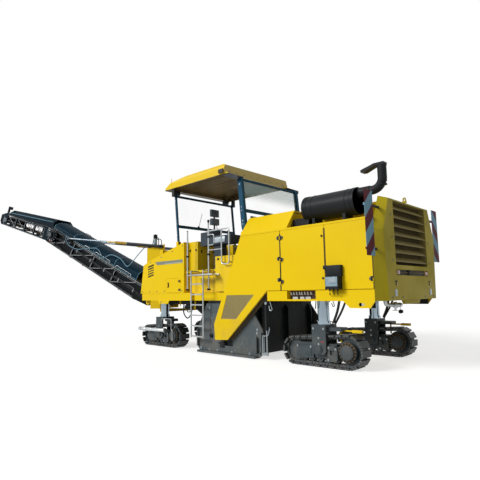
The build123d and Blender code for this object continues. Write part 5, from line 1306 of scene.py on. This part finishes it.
# ---- Belt drive at the fold: motor flange, ribs, screws and hoses ----
# A hydraulic motor with a ribbed reduction gear stands outside the left frame, fed by four
# hoses that arch over from the lower section.
MOTOR_A, MOTOR_H = MOTOR = (4.66, -0.17)
for reach, radius in ((0.526, 0.15), (0.54, 0.135), (0.556, 0.15), (0.572, 0.132), (0.588, 0.126)):
    pin_on(on_lower, *MOTOR, reach, reach + 0.01, radius, sides=40)
pin_on(on_lower, *MOTOR, 0.63, 0.646, 0.085, 0.078, 32)
for a in map(radians, (40, 130, 220, 310)):
    pin_on(on_lower, MOTOR_A + 0.075 * cos(a), MOTOR_H + 0.075 * sin(a), 0.6, 0.665, 0.02)
fit("belt_motor_ribs", grey_cast, 0.002, "conveyor_low")
repeat("belt_motor_screws", bright_screws,
       [(on_lower(MOTOR_A + 0.185 * c, MOTOR_H + 0.185 * s, 0.525), ACROSS) for c, s in circle(12)],
       "conveyor_low", 0.026, 0.014)
for shift, rise, reach in ((0.0, 0.2, 0.62), (0.05, 0.26, 0.6), (-0.05, 0.15, 0.63)):
    port = MOTOR_A + shift
    line = ((port, MOTOR_H + 0.06, reach), (port, MOTOR_H + rise, reach + 0.02),
            (4.3 + shift, 0.05 + rise * 0.2, 0.56), (3.98, -0.12, 0.51))
    bent_tube(run_on(on_lower, *line), 0.014, 0.1)
line = run_on(on_lower, (MOTOR_A, MOTOR_H - 0.07, 0.62), (4.6, -0.4, 0.62), (4.3, -0.44, 0.53), (4.0, -0.44, 0.505))
bent_tube(line, 0.014, 0.1)
fit("belt_motor_hoses", hose_rubber, body="conveyor_low")

# ---- Belt cover: arched sheet, lower towards the fold, with pale edges ----
# Dark blue rolled sheet on the top chords, made in four lengths with raised joints. Its joints and
# lower edges are painted light blue as a painted highlight.
COVER_START, COVER_END, COVER_TALL, COVER_LOW = 0.9, 4.79, 0.4, 0.285     # its run, and the crown's height there
COVER_HALF, COVER_FOOT, COVER_SHEET, COVER_ARCH = 0.438, 0.062, 0.006, 0.175


def cover_ring(along, wall):
    """Points across the cover: up one side, over the crown, and down."""
    share = (along - COVER_START) / (COVER_END - COVER_START)
    crown = COVER_TALL + (COVER_LOW - COVER_TALL) * share - wall
    half, spring = COVER_HALF - wall, crown - COVER_ARCH
    ring = [(half, COVER_FOOT), (half, spring * 0.5 + COVER_FOOT * 0.5), (half, spring)]
    ring += [(half * cos(a) ** 0.86, spring + COVER_ARCH * sin(a) ** 0.95)
             for a in (pi / 2 * i / 9 for i in range(1, 9))]
    ring.append((0.0, crown))
    return [form.verts.new(on_lower(along, h, y)) for y, h in ring + [(-y, h) for y, h in ring[-2::-1]]]


stations = [COVER_START + (COVER_END - COVER_START) * i / 24 for i in range(25)]
outer, inner = ([cover_ring(a, wall) for a in stations] for wall in (0.0, COVER_SHEET))
last = len(outer[0]) - 1
for out, out_next, wall, wall_next in zip(outer, outer[1:], inner, inner[1:]):
    for k in range(last):
        form.faces.new((out[k], out[k + 1], out_next[k + 1], out_next[k]))
        form.faces.new((wall[k], wall_next[k], wall_next[k + 1], wall[k + 1]))
    for k in (0, last):
        form.faces.new((out[k], out_next[k], wall_next[k], wall[k]))
for i in (0, -1):
    for k in range(last):
        form.faces.new((outer[i][k], inner[i][k], inner[i][k + 1], outer[i][k + 1]))
cover = fit("belt_cover", cover_coat, body="conveyor_low", smooth=50)
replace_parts(cover, "conveyor_cover")
# Light blue for the cover's joints and edges and the tip hood's edge: a painted highlight.
blue_painted_highlight = paint_coat("painted_blue_highlight", (0.12, 0.29, 0.4), (0.22, 0.38, 0.47), 0.3, 1.5, 0.1, 0.0006, 0.3)
for along in (0.905, 1.875, 2.845, 3.815, 4.775):
    hoop, back = (cover_ring(a, -0.004) + cover_ring(a, -0.0005)[::-1] for a in (along, along + 0.012))
    count = len(hoop)
    for k in range(count):
        form.faces.new((hoop[k], hoop[(k + 1) % count], back[(k + 1) % count], back[k]))
    for ends in (hoop, back):
        for k in range(count // 2 - 1):
            form.faces.new((ends[k], ends[k + 1], ends[count - 2 - k], ends[count - 1 - k]))
for side in (1, -1):
    bar_on(on_lower, (COVER_START, 0.07), (COVER_END, 0.07), COVER_HALF * side, 0.016, 0.004 * side)
fit("cover_edges", blue_painted_highlight, body="conveyor_low")
bent_tube(run_on(on_lower, (3.4, 0.335, 0.1), (3.44, 0.42, 0.16), (3.62, 0.43, 0.22), (3.72, 0.3, 0.26)), 0.008, 0.06)
fit("cover_hose_loop", hose_rubber, body="conveyor_low")

# ---- Conveyor tip: chord lips, hood edges, head drum bearings, idlers and cable ----
# The tip's hood is dark blue sheet, its edge painted light blue as a painted highlight. Thin braces close
# the windows of its frame, and the head drum's bearings are bolted outside.
DRUM_A, DRUM_H = 2.26, 0.15
for side, hand in SIDES:
    face = 0.43 * side
    for start, end, width in (((0.26, -0.026), (2.23, -0.026), 0.016), ((0.3, 0.352), (2.16, 0.352), 0.012),
                              ((2.25, -0.03), (2.33, 0.062), 0.014), ((2.335, 0.062), (2.335, 0.3), 0.014)):
        bar_on(on_tip, start, end, face, width, 0.005 * side)
    for i in range(4):
        a0, a1, inner = 0.3 + i * 0.48, 0.3 + i * 0.48 + 0.43, face - 0.036 * side
        bar_on(on_tip, (a0 - 0.025, 0.0), (a0 - 0.025, 0.34), face, 0.012, 0.005 * side)
        bar_on(on_tip, (a0, 0.02), (a1, 0.335), inner, 0.016, 0.01 * side)
        bar_on(on_tip, (a0, 0.17), (a1, 0.17), inner, 0.01, 0.01 * side)
    fit(f"tip_chord_lips_{hand}", pale_chord, body="conveyor_end")
    bar_on(on_tip, (0.0, 0.645), (2.05, 0.462), 0.4255 * side, 0.02, 0.004 * side)
    fit(f"tip_hood_edge_{hand}", blue_painted_highlight, body="conveyor_end")
    bar_on(on_tip, (0.03, 0.16), (0.03, 0.42), face, 0.15, 0.006 * side)
    fit(f"fold_plate_{hand}", housing_grey, 0.002, "conveyor_end")
    pin_on(on_tip, DRUM_A, DRUM_H, face, face + 0.012 * side, 0.08, 0.076, 32)
    pin_on(on_tip, DRUM_A, DRUM_H, face + 0.012 * side, face + 0.022 * side, 0.045, 0.04, 24)
    fit(f"head_bearing_{hand}", grey_cast, 0.002, "conveyor_end")
    places = [(along, height, 0.004) for along in (0.42, 0.9, 1.38, 1.86) for height in (0.38, -0.015)]
    places += [(DRUM_A + 0.06 * c, DRUM_H + 0.06 * s, 0.012) for c, s in circle(6)]
    repeat(f"tip_screws_{hand}", bright_screws,
           [(on_tip(along, height, face + out * side), ACROSS * side) for along, height, out in places],
           "conveyor_end", 0.016, 0.008)
for i in range(8):
    pin_on(on_tip, 0.42 + i * 0.235, 0.06, -0.36, 0.36, 0.022, sides=12)
idler_rust = paint_coat("rusty_idlers", (0.075, 0.05, 0.03), (0.15, 0.09, 0.04), 0.6, 1.0, 0.2)
fit("return_idlers", idler_rust, body="conveyor_end")
bar_on(on_tip, (0.01, 0.2), (0.05, 0.2), 0.437, 0.06, 0.004)
bar_on(on_tip, (2.16, 0.59), (2.16, 0.63), 0.38, 0.03, 0.006)
fit("tip_markers", lens_red, 0.001, "conveyor_end")
line = ((0.1, 0.43, 0.446), (1.0, 0.395, 0.446), (1.9, 0.37, 0.446), (2.2, 0.42, 0.446), (2.22, 0.56, 0.436))
bent_tube(run_on(on_tip, *line), 0.008, 0.1, 8)
fit("tip_lamp_cable", hose_rubber, body="conveyor_end")

# ---- Yoke: hose bundle, lift pin caps and the pale filter can ----
# Rubber hoses climb beside the filter can, which is a pale steel shell under a cast head, and
# turned caps close the lift pin.
ahead, up = Vector((cos(SLEW), sin(SLEW), 0)), Vector((0, 0, 1))
for along, foot, high, across in ((-0.06, 2.86, 3.02, 0.3), (0.02, 2.84, 3.1, 0.34)):
    start = slewed(along, foot - PIVOT_Z, across)
    turn, end = start + ahead * 0.16 + up * (high - 2.8), start + ahead * 0.24 - up * 0.06
    bent_tube([start, start + up * (high - 2.84), turn, end], 0.012, 0.08)
fit("yoke_hoses", hose_rubber, body="yoke")
for side in (1, -1):
    pin_on(on_lower, 0, 0, 0.505 * side, 0.538 * side, 0.062, 0.056, 28)
fit("lift_pin_caps", grey_cast, 0.002, "yoke")
CAN = (3.8352, 0.4443)
round_bar((*CAN, 2.8), (*CAN, 3.055), 0.0525, sides=32)
round_bar((*CAN, 2.83), (*CAN, 2.845), 0.057, sides=32)
fit("filter_can_shell", pale_plate, 0.002, "yoke")
round_bar((*CAN, 3.058), (*CAN, 3.174), 0.0605, 0.0595, 32)
round_bar((*CAN, 3.174), (*CAN, 3.188), 0.03, sides=6)
fit("filter_can_head", black_part, 0.003, "yoke")

# ---- Oil hoses from the yoke to the conveyor: pale blue, hanging in open loops ----
# Sleeved hoses leave the yoke's head and hang in front of the cover, and one runs on along the
# frame to the belt motor.
blue_hose = paint_coat("blue_hose_sleeve", (0.17, 0.33, 0.44), (0.26, 0.4, 0.48), 0.5, 1.0, 0.1, 0.0008, 0.2)
line = [(3.907, 0.5, 2.84), (4.063, 0.568, 2.9), (4.326, 0.675, 2.66), (4.575, 0.793, 2.36)]
line += run_on(on_lower, (1.35, 0.26, 0.49), (1.75, 0.4, 0.48), (2.15, 0.34, 0.47), (2.35, 0.08, 0.475))
bent_tube(line, 0.013, 0.16)
loop = fit("yoke_hose_loop", blue_hose, body=None)
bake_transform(loop)
line = run_on(on_lower, (2.35, 0.08, 0.475), (2.7, 0.3, 0.49), (3.05, 0.1, 0.5), (3.45, -0.14, 0.52),
              (3.85, -0.16, 0.53), (4.1, 0.02, 0.51), (4.12, 0.06, 0.46))
bent_tube(line, 0.011, 0.18)
fit("long_blue_hose", blue_hose, body="conveyor_low")
